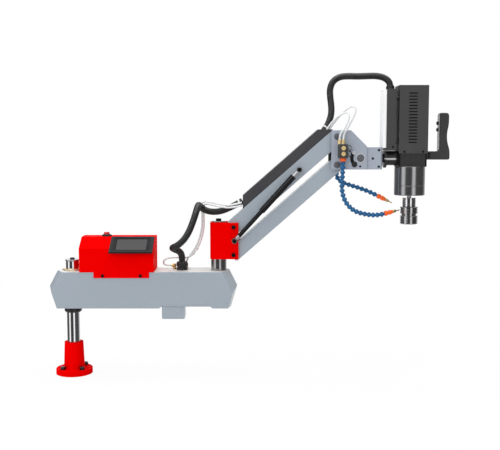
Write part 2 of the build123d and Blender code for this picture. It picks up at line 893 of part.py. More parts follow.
def spring_end(centre, way, bore_r, ferrule_r, ferrule_end):
    """The eye, neck and ferrule at one end of the gas spring, with the eye round its stud."""
    with BuildPart(mode=Mode.PRIVATE) as end:
        with BuildSketch(front_plane(centre.X, spring_y, centre.Z)):
            Circle(spring_eye_r)
        extrude(amount=spring_eye_half_width, both=True)
        with BuildSketch(Plane(origin=centre + way * (spring_eye_r - spring_neck_root), z_dir=way)):
            Circle(spring_neck_r)
        extrude(amount=spring_neck_length + spring_neck_root)
        with BuildSketch(Plane(origin=centre + way * (spring_eye_r + spring_neck_length), z_dir=way)):
            Circle(ferrule_r)
        extrude(amount=ferrule_end - spring_eye_r - spring_neck_length)
        with BuildSketch(front_plane(centre.X, spring_y, centre.Z)):
            Circle(bore_r)
        extrude(amount=spring_eye_half_width, both=True, mode=Mode.SUBTRACT)
    return end.part


with BuildPart() as spring_upper_end:
    add(
        spring_end(
            spring_start, spring_way, spring_stud_r + running_gap, spring_ferrule_r, spring_cylinder_start
        )
    )
save(spring_upper_end, "spring_upper_end")

with BuildPart() as gas_cylinder:
    with BuildSketch(spring_plane(spring_cylinder_start)):
        Circle(spring_cylinder_r)
    extrude(amount=spring_cylinder_length)
    with BuildSketch(spring_plane(spring_cylinder_start + spring_cylinder_length)):
        Circle(spring_bore_r)
    extrude(amount=spring_cylinder_floor - spring_cylinder_length, mode=Mode.SUBTRACT)
save(gas_cylinder, "gas_cylinder")

spring_rod_start = spring_cylinder_start + spring_cylinder_length - spring_rod_inside
spring_rod_end = spring_length - spring_lower_end_length
with BuildPart() as gas_rod:
    with BuildSketch(spring_plane(spring_rod_start)):
        Circle(spring_rod_r)
    extrude(amount=spring_rod_end - spring_rod_start)
save(gas_rod, "gas_rod")

with BuildPart() as spring_lower_end:
    add(
        spring_end(
            spring_end_point,
            spring_way * -1,
            spring_stud_r + open_pivot_gap,
            spring_ferrule_r + 1,
            spring_lower_end_length,
        )
    )
save(spring_lower_end, "spring_lower_end")


# Head bracket

def slot_point(angle):
    """A point on the middle line of the tilt slot."""
    return (tilt_x + slot_path_r * cos(radians(angle)), tilt_z + slot_path_r * sin(radians(angle)))


bracket_inner_y = bracket_half_depth - bracket_plate_t
cross_pipe_z = (valve_z0 + valve_z1) / 2
with BuildPart() as head_bracket:
    with BuildSketch(Plane.XZ):
        with BuildLine():
            Polyline(
                (bracket_x0, bracket_z0),
                (bracket_x0, bracket_z1),
                (bracket_x1 - bracket_cut, bracket_z1),
                (bracket_x1, bracket_z1 - bracket_cut),
                (bracket_x1, bracket_z0),
                close=True,
            )
        make_face()
    extrude(amount=bracket_half_depth, both=True)
    with BuildSketch(Plane.XZ):
        with Locations(((bracket_x0 + bracket_web_x) / 2, (bracket_z0 + bracket_z1) / 2)):
            Rectangle(bracket_web_x - bracket_x0, bracket_z1 - bracket_z0)
        with Locations(
            ((bracket_x1 + bracket_web_x + bracket_web_t) / 2, (bracket_z0 + bracket_z1) / 2)
        ):
            Rectangle(bracket_x1 - bracket_web_x - bracket_web_t, bracket_z1 - bracket_z0)
    extrude(amount=bracket_inner_y, both=True, mode=Mode.SUBTRACT)
    for hole_x, hole_z, hole_r in (
        (0, 0, head_pin_r),
        (0, pivot_spacing, head_pin_r),
        (tilt_x, tilt_z, tilt_pin_r),
        (valve_x, cross_pipe_z, cross_pipe_r),
        (index_hole_x, index_hole_z, index_hole_r),
    ):
        with BuildSketch(front_plane(hole_x, 0, hole_z)):
            Circle(hole_r + press_gap)
        extrude(amount=bracket_half_depth, both=True, mode=Mode.SUBTRACT)
    with BuildSketch(Plane.XZ.offset(bracket_inner_y)):
        with BuildLine():
            slot_line = ThreePointArc(
                slot_point(slot_start_angle),
                slot_point((slot_start_angle + slot_end_angle) / 2),
                slot_point(slot_end_angle),
            )
        SlotArc(slot_line, 2 * slot_half_width)
    extrude(amount=bracket_plate_t, mode=Mode.SUBTRACT)
save(head_bracket, "head_bracket", head_place)

with BuildPart() as bracket_pins:
    for pin_x, pin_z, pin_r in (
        (0, 0, head_pin_r),
        (0, pivot_spacing, head_pin_r),
        (tilt_x, tilt_z, tilt_pin_r),
    ):
        with BuildSketch(front_plane(pin_x, 0, pin_z)):
            Circle(pin_r)
        extrude(amount=bracket_half_depth, both=True)
    stop_x, stop_z = slot_point(slot_end_angle)
    with Locations(front_plane(stop_x, -bracket_half_depth, stop_z)):
        add(cap_screw(stop_screw_r, bracket_plate_t - stop_screw_gap, stop_screw_head_r, stop_screw_head_h))
save(bracket_pins, "bracket_pins", head_place)

rear_outlet_z0 = cross_pipe_z - rear_outlet_h / 2
lever_x = valve_x + valve_half_width
lever_y = valve_face_y + valve_depth / 2
with BuildPart() as coolant_valves:
    with BuildSketch(Plane.XZ.offset(bracket_half_depth)):
        with Locations((valve_x, (valve_z0 + valve_z1) / 2)):
            RectangleRounded(2 * valve_half_width, valve_z1 - valve_z0, 3)
    extrude(amount=valve_depth)
    with BuildSketch(Plane.XZ.offset(-bracket_half_depth)):
        with Locations((valve_x, cross_pipe_z)):
            RectangleRounded(2 * valve_half_width, rear_outlet_h, 3)
    extrude(amount=-rear_outlet_depth)
    for lever_z in (cross_pipe_z - valve_cap_pitch / 2, cross_pipe_z + valve_cap_pitch / 2):
        with Locations(Plane(origin=(lever_x, lever_y, lever_z), z_dir=(1, 0, 0))):
            Hole(lever_stem_r + running_gap, depth=lever_stem_depth)
save(coolant_valves, "coolant_valves", head_place)

fitting_spots = [
    (valve_x - tube_fitting_shift - tube_fitting_spread, front_hose_y),
    (valve_x - tube_fitting_shift + tube_fitting_spread, front_hose_y),
]
with BuildPart() as valve_fittings:
    with BuildSketch(Plane.XY.offset(valve_z1)):
        with Locations(*fitting_spots):
            Circle(tube_fitting_r)
    extrude(amount=tube_fitting_h)
    for cap_z in (cross_pipe_z - valve_cap_pitch / 2, cross_pipe_z + valve_cap_pitch / 2):
        with BuildSketch(front_plane(valve_x, valve_face_y, cap_z)):
            Circle(valve_cap_r)
        extrude(amount=valve_cap_h)
    with BuildSketch(front_plane(valve_x, 0, cross_pipe_z)):
        Circle(cross_pipe_r)
    extrude(amount=bracket_half_depth, both=True)
save(valve_fittings, "valve_fittings", head_place)

for lever_name, lever_z in (
    ("valve_lever_lower", cross_pipe_z - valve_cap_pitch / 2),
    ("valve_lever_upper", cross_pipe_z + valve_cap_pitch / 2),
):
    with BuildPart() as valve_lever:
        with BuildSketch(Plane(origin=(lever_x + slip_gap, lever_y, lever_z), z_dir=(1, 0, 0))):
            Circle(lever_r)
        extrude(amount=lever_hub_t)
        with BuildSketch(Plane(origin=(lever_x + slip_gap, lever_y, lever_z), z_dir=(1, 0, 0))):
            Circle(lever_stem_r)
        extrude(amount=lever_stem_end_gap - lever_stem_depth)
        with BuildSketch(Plane.YZ.offset(lever_x + slip_gap + lever_hub_t)):
            with Locations((lever_y - lever_wing_length / 2, lever_z)):
                SlotOverall(lever_wing_length + lever_wing_overrun, lever_wing_width)
        extrude(amount=lever_wing_t)
    save(valve_lever, lever_name, head_place)

front_nut_z = valve_z0 - nut_h
rear_nut_z = rear_outlet_z0 - nut_h
front_hose_points = [
    (valve_x, front_hose_y, front_nut_z),
    (valve_x, front_hose_y, -13.1),
    (14.7, -62, -44.1),
    (12.7, -66, -71.1),
    (16.7, -68, -98.1),
    (26.7, -66, -120.1),
    (43.7, -62, -139.1),
    (64.7, -56, -151.1),
    (88.7, -50, -157.1),
    (113.7, -44, -161.1),
    (136.7, -39, -161.1),
    (154.7, -34, -157.1),
]
rear_hose_points = [
    (valve_x, rear_hose_y, rear_nut_z),
    (valve_x, rear_hose_y, -1.1),
    (8.7, 57, -22.1),
    (7.7, 59, -43.1),
    (22.7, 59, -59.1),
    (45.7, 56, -67.1),
    (69.7, 52, -74.1),
    (93.7, 47, -82.1),
    (117.7, 42, -91.1),
    (141.7, 37, -103.1),
]

with BuildPart() as coolant_hose_front:
    add(tube_solid(front_hose_points, coolant_hose_r))
save(coolant_hose_front, "coolant_hose_front", head_place)

with BuildPart() as coolant_hose_rear:
    add(tube_solid(rear_hose_points, coolant_hose_r))
save(coolant_hose_rear, "coolant_hose_rear", head_place)


def hose_tip(points):
    """Where a coolant hose ends, and the way it points there."""
    last = Vector(*points[-1])
    return last, (last - Vector(*points[-2])).normalized()


with BuildPart() as hose_nuts:
    for nut_y, nut_z in ((front_hose_y, front_nut_z), (rear_hose_y, rear_nut_z)):
        with BuildSketch(Plane.XY.offset(nut_z)):
            with Locations((valve_x, nut_y)):
                Circle(nut_r)
        extrude(amount=nut_h)
    for hose_points in (front_hose_points, rear_hose_points):
        tip, way = hose_tip(hose_points)
        with BuildSketch(Plane(origin=tip, z_dir=way)):
            Circle(nozzle_body_r)
        extrude(amount=nozzle_body_length, taper=2)
save(hose_nuts, "hose_nuts", head_place)

with BuildPart() as coolant_nozzles:
    for hose_points in (front_hose_points, rear_hose_points):
        tip, way = hose_tip(hose_points)
        with BuildSketch(Plane(origin=tip + way * nozzle_body_length, z_dir=way)):
            Circle(nozzle_cone_r)
        extrude(amount=nozzle_cone_length, taper=8)
        with BuildSketch(Plane(origin=tip + way * (nozzle_body_length + nozzle_cone_length), z_dir=way)):
            Circle(nozzle_tip_r)
        extrude(amount=nozzle_tip_length)
save(coolant_nozzles, "coolant_nozzles", head_place)


# Tilt knuckle

knuckle_half_depth = bracket_inner_y - knuckle_clear
clamp_x, clamp_z = slot_point(slot_start_angle)
with BuildPart() as knuckle_block:
    with BuildSketch(Plane.XZ):
        with Locations(((tilt_x + knuckle_x1) / 2, (knuckle_z0 + knuckle_z1) / 2)):
            Rectangle(knuckle_x1 - tilt_x, knuckle_z1 - knuckle_z0)
        with Locations((tilt_x, tilt_z)):
            Circle(knuckle_round)
    extrude(amount=knuckle_half_depth, both=True)
    chamfer(knuckle_block.edges().filter_by(Axis.Z).group_by(Axis.X)[-1], knuckle_bevel)
    with BuildSketch(front_plane(tilt_x, 0, tilt_z)):
        Circle(tilt_pin_r + running_gap)
    extrude(amount=knuckle_half_depth, both=True, mode=Mode.SUBTRACT)
    with Locations(Plane(origin=(knuckle_x1, 0, roll_z), z_dir=(1, 0, 0))):
        Hole(roll_shaft_r + running_gap, depth=knuckle_x1 - roll_shaft_x0 + roll_hole_end_gap)
    with Locations(*[front_plane(x, -knuckle_half_depth, z) for x, z in knuckle_screw_places]):
        Hole(knuckle_screw_r + press_gap, depth=knuckle_screw_depth)
    with Locations(front_plane(clamp_x, -knuckle_half_depth, clamp_z)):
        Hole(clamp_stud_r + press_gap, depth=clamp_stud_depth)
save(knuckle_block, "knuckle_block", head_place)

with BuildPart() as knuckle_screws:
    for screw_x, screw_z in knuckle_screw_places:
        with BuildSketch(front_plane(screw_x, -knuckle_half_depth + knuckle_screw_depth, screw_z)):
            Circle(knuckle_screw_r)
            RegularPolygon(knuckle_screw_socket_r, 6, mode=Mode.SUBTRACT)
        extrude(amount=knuckle_screw_depth - knuckle_screw_sink)
    with Locations(front_plane(clamp_x, -bracket_half_depth - clamp_knob_gap, clamp_z)):
        add(
            cap_screw(
                clamp_stud_r,
                bracket_half_depth + clamp_knob_gap - knuckle_half_depth + clamp_stud_depth,
                clamp_knob_r,
                clamp_knob_h,
            )
        )
save(knuckle_screws, "knuckle_screws", head_place)


# Motor head

with BuildPart() as roll_journal:
    with BuildSketch(Plane.YZ.offset(roll_shaft_x0)):
        with Locations((0, roll_z)):
            Circle(roll_shaft_r)
    extrude(amount=journal_flange_x0 - roll_shaft_x0)
    with BuildSketch(Plane.YZ.offset(journal_flange_x0)):
        with Locations((0, roll_z)):
            Circle(journal_flange_r)
            with Locations((0, journal_flat_z - roll_z + journal_flange_r)):
                Rectangle(2 * journal_flange_r, 2 * journal_flange_r, mode=Mode.SUBTRACT)
    extrude(amount=journal_flange_x1 - journal_flange_x0)
    with BuildSketch(Plane.YZ.offset(journal_flange_x1)):
        with Locations((0, roll_z)):
            Circle(journal_r)
    extrude(amount=left_plate_x0 - journal_flange_x1)
save(roll_journal, "roll_journal", head_place)

head_middle_x = (left_plate_x1 + gearbox_x1) / 2
cover_middle_x = (head_cover_x0 + head_cover_x1) / 2
cover_inner_half_x = (head_cover_x1 - head_cover_x0) / 2 - head_cover_sheet
cover_inner_half_y = head_half_depth - head_cover_sheet
with BuildPart() as gearbox_housing:
    with BuildSketch(Plane.XY.offset(gearbox_z0)):
        with Locations((head_middle_x, 0)):
            Rectangle(gearbox_x1 - left_plate_x1, 2 * cover_inner_half_y)
    extrude(amount=cover_base_z - gearbox_z0)
    with BuildSketch(Plane.XY.offset(cover_base_z)):
        with Locations((cover_middle_x, 0)):
            Rectangle(2 * cover_inner_half_x - 2 * press_gap, 2 * cover_inner_half_y - 2 * press_gap)
    extrude(amount=gearbox_rim_h)
    with Locations((spindle_x, 0, cover_base_z)):
        Hole(spindle_r + gearbox_bore_gap)
save(gearbox_housing, "gearbox_housing", head_place)

with BuildPart() as side_plates:
    for plate_x0, plate_x1 in ((left_plate_x0, left_plate_x1), (gearbox_x1, right_plate_x1)):
        with BuildSketch(Plane.YZ.offset(plate_x0)):
            with Locations((0, (gearbox_z0 + cover_base_z) / 2)):
                Rectangle(2 * cover_inner_half_y, cover_base_z - gearbox_z0 - 2 * press_gap)
        extrude(amount=plate_x1 - plate_x0)
save(side_plates, "side_plates", head_place)

with BuildPart() as motor_cover:
    with BuildSketch(Plane.XY.offset(cover_base_z)):
        with Locations((cover_middle_x, 0)):
            Rectangle(head_cover_x1 - head_cover_x0, 2 * head_half_depth)
    extrude(amount=head_cover_z1 - cover_base_z)
    fillet(motor_cover.edges().filter_by(Axis.Z), 1.2)
    with BuildSketch(Plane.XY.offset(cover_base_z)):
        with Locations((cover_middle_x, 0)):
            Rectangle(2 * cover_inner_half_x, 2 * cover_inner_half_y)
    extrude(amount=head_cover_z1 - cover_base_z - head_cover_sheet, mode=Mode.SUBTRACT)
    with BuildSketch(Plane.XZ):
        with Locations((spindle_x, vent_centre_z)):
            with GridLocations(0, vent_pitch, 1, vent_count):
                SlotOverall(vent_width, vent_height)
    extrude(amount=head_half_depth, both=True, mode=Mode.SUBTRACT)
save(motor_cover, "motor_cover", head_place)

motor_z0 = cover_base_z + gearbox_rim_h
with BuildPart() as servo_motor:
    with BuildSketch(Plane.XY.offset(motor_z0)):
        with Locations((spindle_x, 0)):
            RectangleRounded(2 * motor_flange_half_width, 2 * motor_flange_half_width, 6)
    extrude(amount=motor_flange_t)
    with BuildSketch(Plane.XY.offset(motor_z0 + motor_flange_t)):
        with Locations((spindle_x, 0)):
            RectangleRounded(2 * motor_half_width, 2 * motor_half_width, 10)
    extrude(amount=motor_h)
save(servo_motor, "servo_motor", head_place)

controller_middle_x = (controller_x0 + controller_x1) / 2
with BuildPart() as controller_box:
    with BuildSketch(Plane.XY.offset(controller_z0)):
        with Locations((controller_middle_x, 0)):
            Rectangle(controller_x1 - controller_x0, 2 * controller_half_depth)
    extrude(amount=controller_z1 - controller_z0)
    chamfer(controller_box.faces().sort_by(Axis.Z)[-1].edges().filter_by(Axis.Y), 4)
    with BuildSketch(Plane.YZ.offset(controller_x1)):
        with Locations((0, (controller_z0 + controller_z1) / 2)):
            with GridLocations(controller_boss_spread_y, controller_boss_spread_z, 2, 2):
                Circle(controller_boss_r)
    extrude(amount=head_cover_x0 - controller_x1)
save(controller_box, "controller_box", head_place)

fin_span = 2 * (controller_half_depth - heat_sink_margin)
with BuildPart() as heat_sink:
    with BuildSketch(Plane.YZ.offset(controller_x0 - heat_sink_base_t)):
        with Locations((0, (controller_z0 + controller_z1) / 2 + heat_sink_margin)):
            Rectangle(fin_span, controller_z1 - controller_z0 - 4 * heat_sink_margin)
    extrude(amount=heat_sink_base_t)
    with BuildSketch(Plane.YZ.offset(heat_sink_x0)):
        with Locations((0, (controller_z0 + controller_z1) / 2 + heat_sink_margin)):
            with GridLocations(
                (fin_span - heat_sink_fin_t) / (heat_sink_fin_count - 1), 0, heat_sink_fin_count, 1
            ):
                Rectangle(heat_sink_fin_t, controller_z1 - controller_z0 - 4 * heat_sink_margin)
    extrude(amount=controller_x0 - heat_sink_base_t - heat_sink_x0)
save(heat_sink, "heat_sink", head_place)

with BuildPart() as spindle_housing:
    with BuildSketch(Plane.XY.offset(housing_z0)):
        with Locations((spindle_x, 0)):
            Circle(housing_r)
    extrude(amount=gearbox_z0 - housing_z0)
    chamfer(spindle_housing.faces().sort_by(Axis.Z)[0].edges(), 1.5)
    with BuildSketch(Plane.XY.offset(housing_groove_z)):
        with Locations((spindle_x, 0)):
            Circle(housing_r + 1)
            Circle(housing_r - housing_groove, mode=Mode.SUBTRACT)
    extrude(amount=housing_groove, mode=Mode.SUBTRACT)
    with Locations((spindle_x, 0, gearbox_z0)):
        Hole(spindle_r + running_gap)
save(spindle_housing, "spindle_housing", head_place)


# Spindle and chuck

with BuildPart() as spindle_shaft:
    with BuildSketch(Plane.XY.offset(housing_z0)):
        with Locations((spindle_x, 0)):
            Circle(spindle_r)
    extrude(amount=cover_base_z - housing_z0)
    with BuildSketch(Plane.XY.offset(adapter_z1)):
        with Locations((spindle_x, 0)):
            Circle(stub_r)
    extrude(amount=housing_z0 - adapter_z1)
    with BuildSketch(Plane.XY.offset(chuck_z1)):
        with Locations((spindle_x, 0)):
            Circle(adapter_r)
    extrude(amount=adapter_z1 - chuck_z1)
    round_edges = spindle_shaft.edges().filter_by(GeomType.CIRCLE)
    adapter_edges = round_edges.filter_by_position(Axis.Z, adapter_z1, adapter_z1)
    chamfer(adapter_edges.sort_by(SortBy.RADIUS)[-1], 1)
save(spindle_shaft, "spindle_shaft", head_place)

sleeve_inner_r = chuck_r - sleeve_wall
chuck_shoulder_z = sleeve_z1 + sleeve_stroke + sleeve_end_gap
with BuildPart() as chuck_body:
    with BuildSketch(Plane.XY.offset(chuck_z0)):
        with Locations((spindle_x, 0)):
            Circle(sleeve_inner_r - running_gap)
    extrude(amount=chuck_shoulder_z - chuck_z0)
    with BuildSketch(Plane.XY.offset(chuck_shoulder_z)):
        with Locations((spindle_x, 0)):
            Circle(chuck_r)
    extrude(amount=chuck_z1 - chuck_shoulder_z)
    chamfer(chuck_body.faces().sort_by(Axis.Z)[-1].edges(), 1.5)
    with Locations(Plane(origin=(spindle_x, 0, chuck_z0), z_dir=(0, 0, -1))):
        Hole(chuck_bore_r, depth=chuck_bore_depth)
save(chuck_body, "chuck_body", head_place)

with BuildPart() as chuck_sleeve:
    with BuildSketch(Plane.XY.offset(chuck_z0)):
        with Locations((spindle_x, 0)):
            Circle(chuck_r)
            Circle(sleeve_inner_r, mode=Mode.SUBTRACT)
    extrude(amount=sleeve_z1 - chuck_z0)
    chamfer(chuck_sleeve.faces().sort_by(Axis.Z)[0].edges().sort_by(SortBy.RADIUS)[-1], 3)
save(chuck_sleeve, "chuck_sleeve", head_place)


# Handle

handle_arm_z1 = handle_z0 + handle_arm_h
with BuildPart() as handle:
    with BuildSketch(Plane.XZ):
        with BuildLine():
            Polyline(
                (right_plate_x1, handle_z0),
                (handle_x1, handle_z0),
                (handle_x1, handle_arm_z1),
                (grip_x1, grip_z1),
                (grip_x0, grip_z1),
                (grip_x0, handle_arm_z1),
                (head_cover_x1 + press_gap, handle_arm_z1),
                (head_cover_x1 + press_gap, cover_base_z - press_gap),
                (right_plate_x1, cover_base_z - press_gap),
                close=True,
            )
        make_face()
    extrude(amount=handle_half_width, both=True)
    for corner_x in (grip_x0, grip_x1, handle_x1):
        corner_edges = handle.edges().filter_by(Axis.Y).filter_by_position(Axis.X, corner_x, corner_x)
        fillet(corner_edges, grip_round)
    for push_z in grip_button_z:
        with BuildSketch(Plane.YZ.offset(grip_x0)):
            with Locations((0, push_z)):
                Rectangle(2 * grip_button_half, 2 * grip_button_half)
        extrude(amount=grip_hole_depth, mode=Mode.SUBTRACT)
save(handle, "handle", head_place)

grip_button_depth = grip_hole_depth - grip_button_stroke - grip_button_end_gap
for push_name, push_z in zip(("grip_button_upper", "grip_button_lower"), grip_button_z):
    with BuildPart() as grip_button:
        with BuildSketch(Plane.YZ.offset(grip_x0 - grip_button_out)):
            with Locations((0, push_z)):
                Rectangle(
                    2 * (grip_button_half - grip_button_gap), 2 * (grip_button_half - grip_button_gap)
                )
        extrude(amount=grip_button_out + grip_button_depth)
        chamfer(grip_button.faces().sort_by(Axis.X)[0].edges(), 1)
    save(grip_button, push_name, head_place)


# Hoses and tubes

with BuildPart() as elbow_hose:
    add(
        tube_solid(
            [
                (gland_x, 0, beam_top_z + gland_foot_h + gland_hex_h),
                (gland_x, 0, 391),
                (356, -20, 408),
                (344, -47, 419),
                (341, -74, 427),
                (354, -90, 441),
                (373, -92, 460),
                (389, -90, 484),
                (401, -86, 510),
                (411, -75, 535),
                (420, -50, 551),
                (428, -24, 553),
                (442, -5, 545),
                (463, 1, 537),
                (487, 0, 538),
                (511, 0, 546),
                (535, 0, 558),
                (558, 0, 571),
            ],
            cable_hose_r,
        )
    )
save(elbow_hose, "elbow_hose")

with BuildPart() as head_hose:
    add(
        tube_solid(
            [
                (815, 0, 790),
                (828, 0, 807),
                (839, 0, 830),
                (845, 0, 854),
                (844, 0, 880),
                (840, 0, 906),
                (839, 0, 932),
                (848, 0, 956),
                (870, 0, 970),
                (897, 0, 972),
                (926, 0, 971),
                (956, 0, 972),
                (984, 0, 973),
                (1009, 0, 969),
                (1028, 0, 957),
                (head_pivot_x + hose_end_x, 0, 941),
                (head_pivot_x + hose_end_x, 0, head_lower_z + controller_z1),
            ],
            cable_hose_r,
        )
    )
save(head_hose, "head_hose")

with BuildPart() as elbow_tubes:
    add(
        tube_solid(
            [
                (fitting_x - fitting_nose, fitting_y, beam_top_z + fitting_rise),
                (311, fitting_y, beam_top_z + fitting_rise),
                (300, 15, 368),
                (300, 16, 380),
                (311, 18, 389),
                (329, 20, 393),
                (352, 22, 391),
                (377, 22, 389),
                (397, 20, 399),
                (411, 18, 424),
                (427, 14, 456),
                (435, 10, 494),
                (433, 6, 530),
                (426, 4, 554),
                (433, 0, 569),
                (456, -8, 568),
                (488, -15, 559),
                (522, -18, 553),
                (556, -18, 560),
            ],
            tube_r,
        )
    )
    add(
        tube_solid(
            [
                (second_fitting_x, second_fitting_y, beam_top_z + second_fitting_h),
                (second_fitting_x, second_fitting_y, 374),
                (386, 28, 391),
                (401, 26, 416),
                (417, 23, 452),
                (425, 19, 492),
                (423, 14, 530),
                (416, 12, 557),
                (424, 8, 578),
                (456, 2, 578),
                (489, -8, 569),
                (522, -14, 567),
                (556, -17, 578),
            ],
            tube_r,
        )
    )
save(elbow_tubes, "elbow_tubes")

with BuildPart() as head_tubes:
    add(
        tube_solid(
            [
                (830, -17, 792),
                (842, -18, 810),
                (860, -26, 834),
                (882, -38, 860),
                (902, -48, 874),
                (916, -54, 872),
                (916, -57, 855),
                (905, -58, 831),
                (892, -58, 806),
                (head_pivot_x + fitting_spots[1][0], front_hose_y, 786),
                (head_pivot_x + fitting_spots[1][0], front_hose_y, head_lower_z + valve_z1 + tube_fitting_h),
            ],
            tube_r,
        )
    )
    add(
        tube_solid(
            [
                (822, -18, 789),
                (832, -19, 808),
                (850, -30, 832),
                (872, -45, 850),
                (889, -56, 856),
                (896, -65, 845),
                (891, -68, 826),
                (881, -65, 804),
                (head_pivot_x + fitting_spots[0][0], front_hose_y, 787),
                (head_pivot_x + fitting_spots[0][0], front_hose_y, head_lower_z + valve_z1 + tube_fitting_h),
            ],
            tube_r,
        )
    )
save(head_tubes, "head_tubes")
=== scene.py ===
import bpy
import json
import math
from mathutils import Matrix, Vector


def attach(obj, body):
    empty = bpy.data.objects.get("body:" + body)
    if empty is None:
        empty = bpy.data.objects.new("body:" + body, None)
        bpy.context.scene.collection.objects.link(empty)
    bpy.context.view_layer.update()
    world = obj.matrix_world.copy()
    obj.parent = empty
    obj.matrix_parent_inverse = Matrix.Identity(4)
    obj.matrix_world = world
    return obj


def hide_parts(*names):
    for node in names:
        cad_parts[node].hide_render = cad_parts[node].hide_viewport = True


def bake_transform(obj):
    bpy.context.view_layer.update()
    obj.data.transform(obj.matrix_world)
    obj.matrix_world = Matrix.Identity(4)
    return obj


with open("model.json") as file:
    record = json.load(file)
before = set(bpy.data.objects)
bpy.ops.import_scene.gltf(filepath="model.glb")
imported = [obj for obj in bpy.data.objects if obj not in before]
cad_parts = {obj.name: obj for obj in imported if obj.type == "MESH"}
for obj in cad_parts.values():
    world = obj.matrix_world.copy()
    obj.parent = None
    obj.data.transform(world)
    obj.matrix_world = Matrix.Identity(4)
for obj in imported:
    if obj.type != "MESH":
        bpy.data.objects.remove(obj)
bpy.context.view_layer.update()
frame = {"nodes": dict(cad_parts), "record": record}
scene = bpy.context.scene
print("frame loaded:", len(frame["nodes"]), "nodes")


def settle():
    if bpy.context.object and bpy.context.object.mode != "OBJECT":
        bpy.ops.object.mode_set(mode="OBJECT")
    bpy.ops.object.select_all(action="DESELECT")


def pick(*pieces):
    settle()
    for piece in pieces:
        piece.select_set(True)
    bpy.context.view_layer.objects.active = pieces[-1]


def tone(red, green, blue):  # screen values 0 to 255, as the colour's linear values
    values = [value / 255 for value in (red, green, blue)]
    return tuple(v / 12.92 if v <= 0.04045 else ((v + 0.055) / 1.055) ** 2.4 for v in values) + (1,)


# camera, at the photograph's place: level with the arm's upper end, looking slightly down
cameraSet = {"location": (0.5824, -2.7, 0.756), "pitch": 84.416, "lens": 59.83, "sensor": 36, "far": 60}
settle()
bpy.ops.object.camera_add(location=cameraSet["location"], rotation=(math.radians(cameraSet["pitch"]), 0, 0))
camera = bpy.context.object
camera.name = "photoCamera"
camera.data.lens = cameraSet["lens"]
camera.data.sensor_width = cameraSet["sensor"]
camera.data.clip_end = cameraSet["far"]
scene.camera = camera
scene.view_settings.view_transform = "Standard"


# node groups that the finishes share
def newGroup(name, inputs, outputs):
    group = bpy.data.node_groups.new(name, "ShaderNodeTree")
    for label, kind, value in inputs:
        socket = group.interface.new_socket(name=label, in_out="INPUT", socket_type=kind)
        if value is not None:
            socket.default_value = value
    for label, kind in outputs:
        group.interface.new_socket(name=label, in_out="OUTPUT", socket_type=kind)
    return group, group.nodes.new("NodeGroupInput").outputs, group.nodes.new("NodeGroupOutput")


def feed(tree, target, values):  # a socket is linked to the input, anything else is its value
    for key, value in values.items():
        if isinstance(value, bpy.types.NodeSocket):
            tree.links.new(value, target.inputs[key])
        else:
            target.inputs[key].default_value = value
    return target


def node(tree, kind, values=None, **settings):
    new = tree.nodes.new(kind)
    for key, value in settings.items():
        setattr(new, key, value)
    return feed(tree, new, values or {})


def mathNode(tree, operation, first, second, clamp=False):
    return node(tree, "ShaderNodeMath", {0: first, 1: second}, operation=operation, use_clamp=clamp).outputs[0]


def mixColor(tree, share, first, second):
    return node(tree, "ShaderNodeMix", {"Factor": share, 6: first, 7: second}, data_type="RGBA").outputs[2]


def ranged(tree, value, low, high, toLow=0.0, toHigh=1.0):
    return node(tree, "ShaderNodeMapRange", {"Value": value, "From Min": low, "From Max": high,
                                             "To Min": toLow, "To Max": toHigh}).outputs[0]


def noise(tree, spot, scale, detail, rough=0.5):
    return node(tree, "ShaderNodeTexNoise", {"Vector": spot, "Scale": scale, "Detail": detail,
                                             "Roughness": rough}).outputs["Fac"]


number, colour, vector = "NodeSocketFloat", "NodeSocketColor", "NodeSocketVector"

# surfaceGrain: slow patches of shade and sheen, and a fine grain for the bump
grainGroup, given, result = newGroup(
    "surfaceGrain",
    [("Vector", vector, None), ("Color", colour, (0.5, 0.5, 0.5, 1)), ("Shade", colour, (0.4, 0.4, 0.4, 1)),
     ("Patch", number, 20.0), ("Share", number, 0.5), ("Grain", number, 900.0), ("Rough", number, 0.4),
     ("Spread", number, 0.1)],
    [("Color", colour), ("Roughness", number), ("Height", number)])
patches = ranged(grainGroup, noise(grainGroup, given["Vector"], given["Patch"], 4.0, 0.6), 0.3, 0.7)
grain = noise(grainGroup, given["Vector"], given["Grain"], 2.0, 0.55)
share = mathNode(grainGroup, "MULTIPLY", patches, given["Share"], clamp=True)
rough = given["Rough"]
for part in (patches, grain):
    swing = mathNode(grainGroup, "MULTIPLY", mathNode(grainGroup, "SUBTRACT", part, 0.5), given["Spread"])
    rough = mathNode(grainGroup, "ADD", rough, swing)
feed(grainGroup, result, {"Color": mixColor(grainGroup, share, given["Color"], given["Shade"]),
                          "Roughness": rough, "Height": grain})

# edgeWearAndSheen: a lighter tone where the surface turns a corner, partly rubbed paint and partly a painted edge
# highlight
edgeSheenGroup, given, result = newGroup(
    "edgeWearAndSheen",
    [("Vector", vector, None), ("Color", colour, (0.5, 0.5, 0.5, 1)), ("WornLit", colour, (0.7, 0.7, 0.7, 1)),
     ("Radius", number, 0.0012), ("Amount", number, 0.5)],
    [("Color", colour)])
rounded = node(edgeSheenGroup, "ShaderNodeBevel", {"Radius": given["Radius"]}, samples=4).outputs[0]
facing = node(edgeSheenGroup, "ShaderNodeNewGeometry").outputs["Normal"]
turnOff = node(edgeSheenGroup, "ShaderNodeVectorMath", {0: rounded, 1: facing}, operation="DOT_PRODUCT").outputs["Value"]
edge = ranged(edgeSheenGroup, turnOff, 0.995, 0.9)
breakup = ranged(edgeSheenGroup, noise(edgeSheenGroup, given["Vector"], 90.0, 5.0, 0.7), 0.35, 0.7)
wornLitShare = mathNode(edgeSheenGroup, "MULTIPLY", mathNode(edgeSheenGroup, "MULTIPLY", edge, breakup), given["Amount"], clamp=True)
feed(edgeSheenGroup, result, {"Color": mixColor(edgeSheenGroup, wornLitShare, given["Color"], given["WornLit"])})

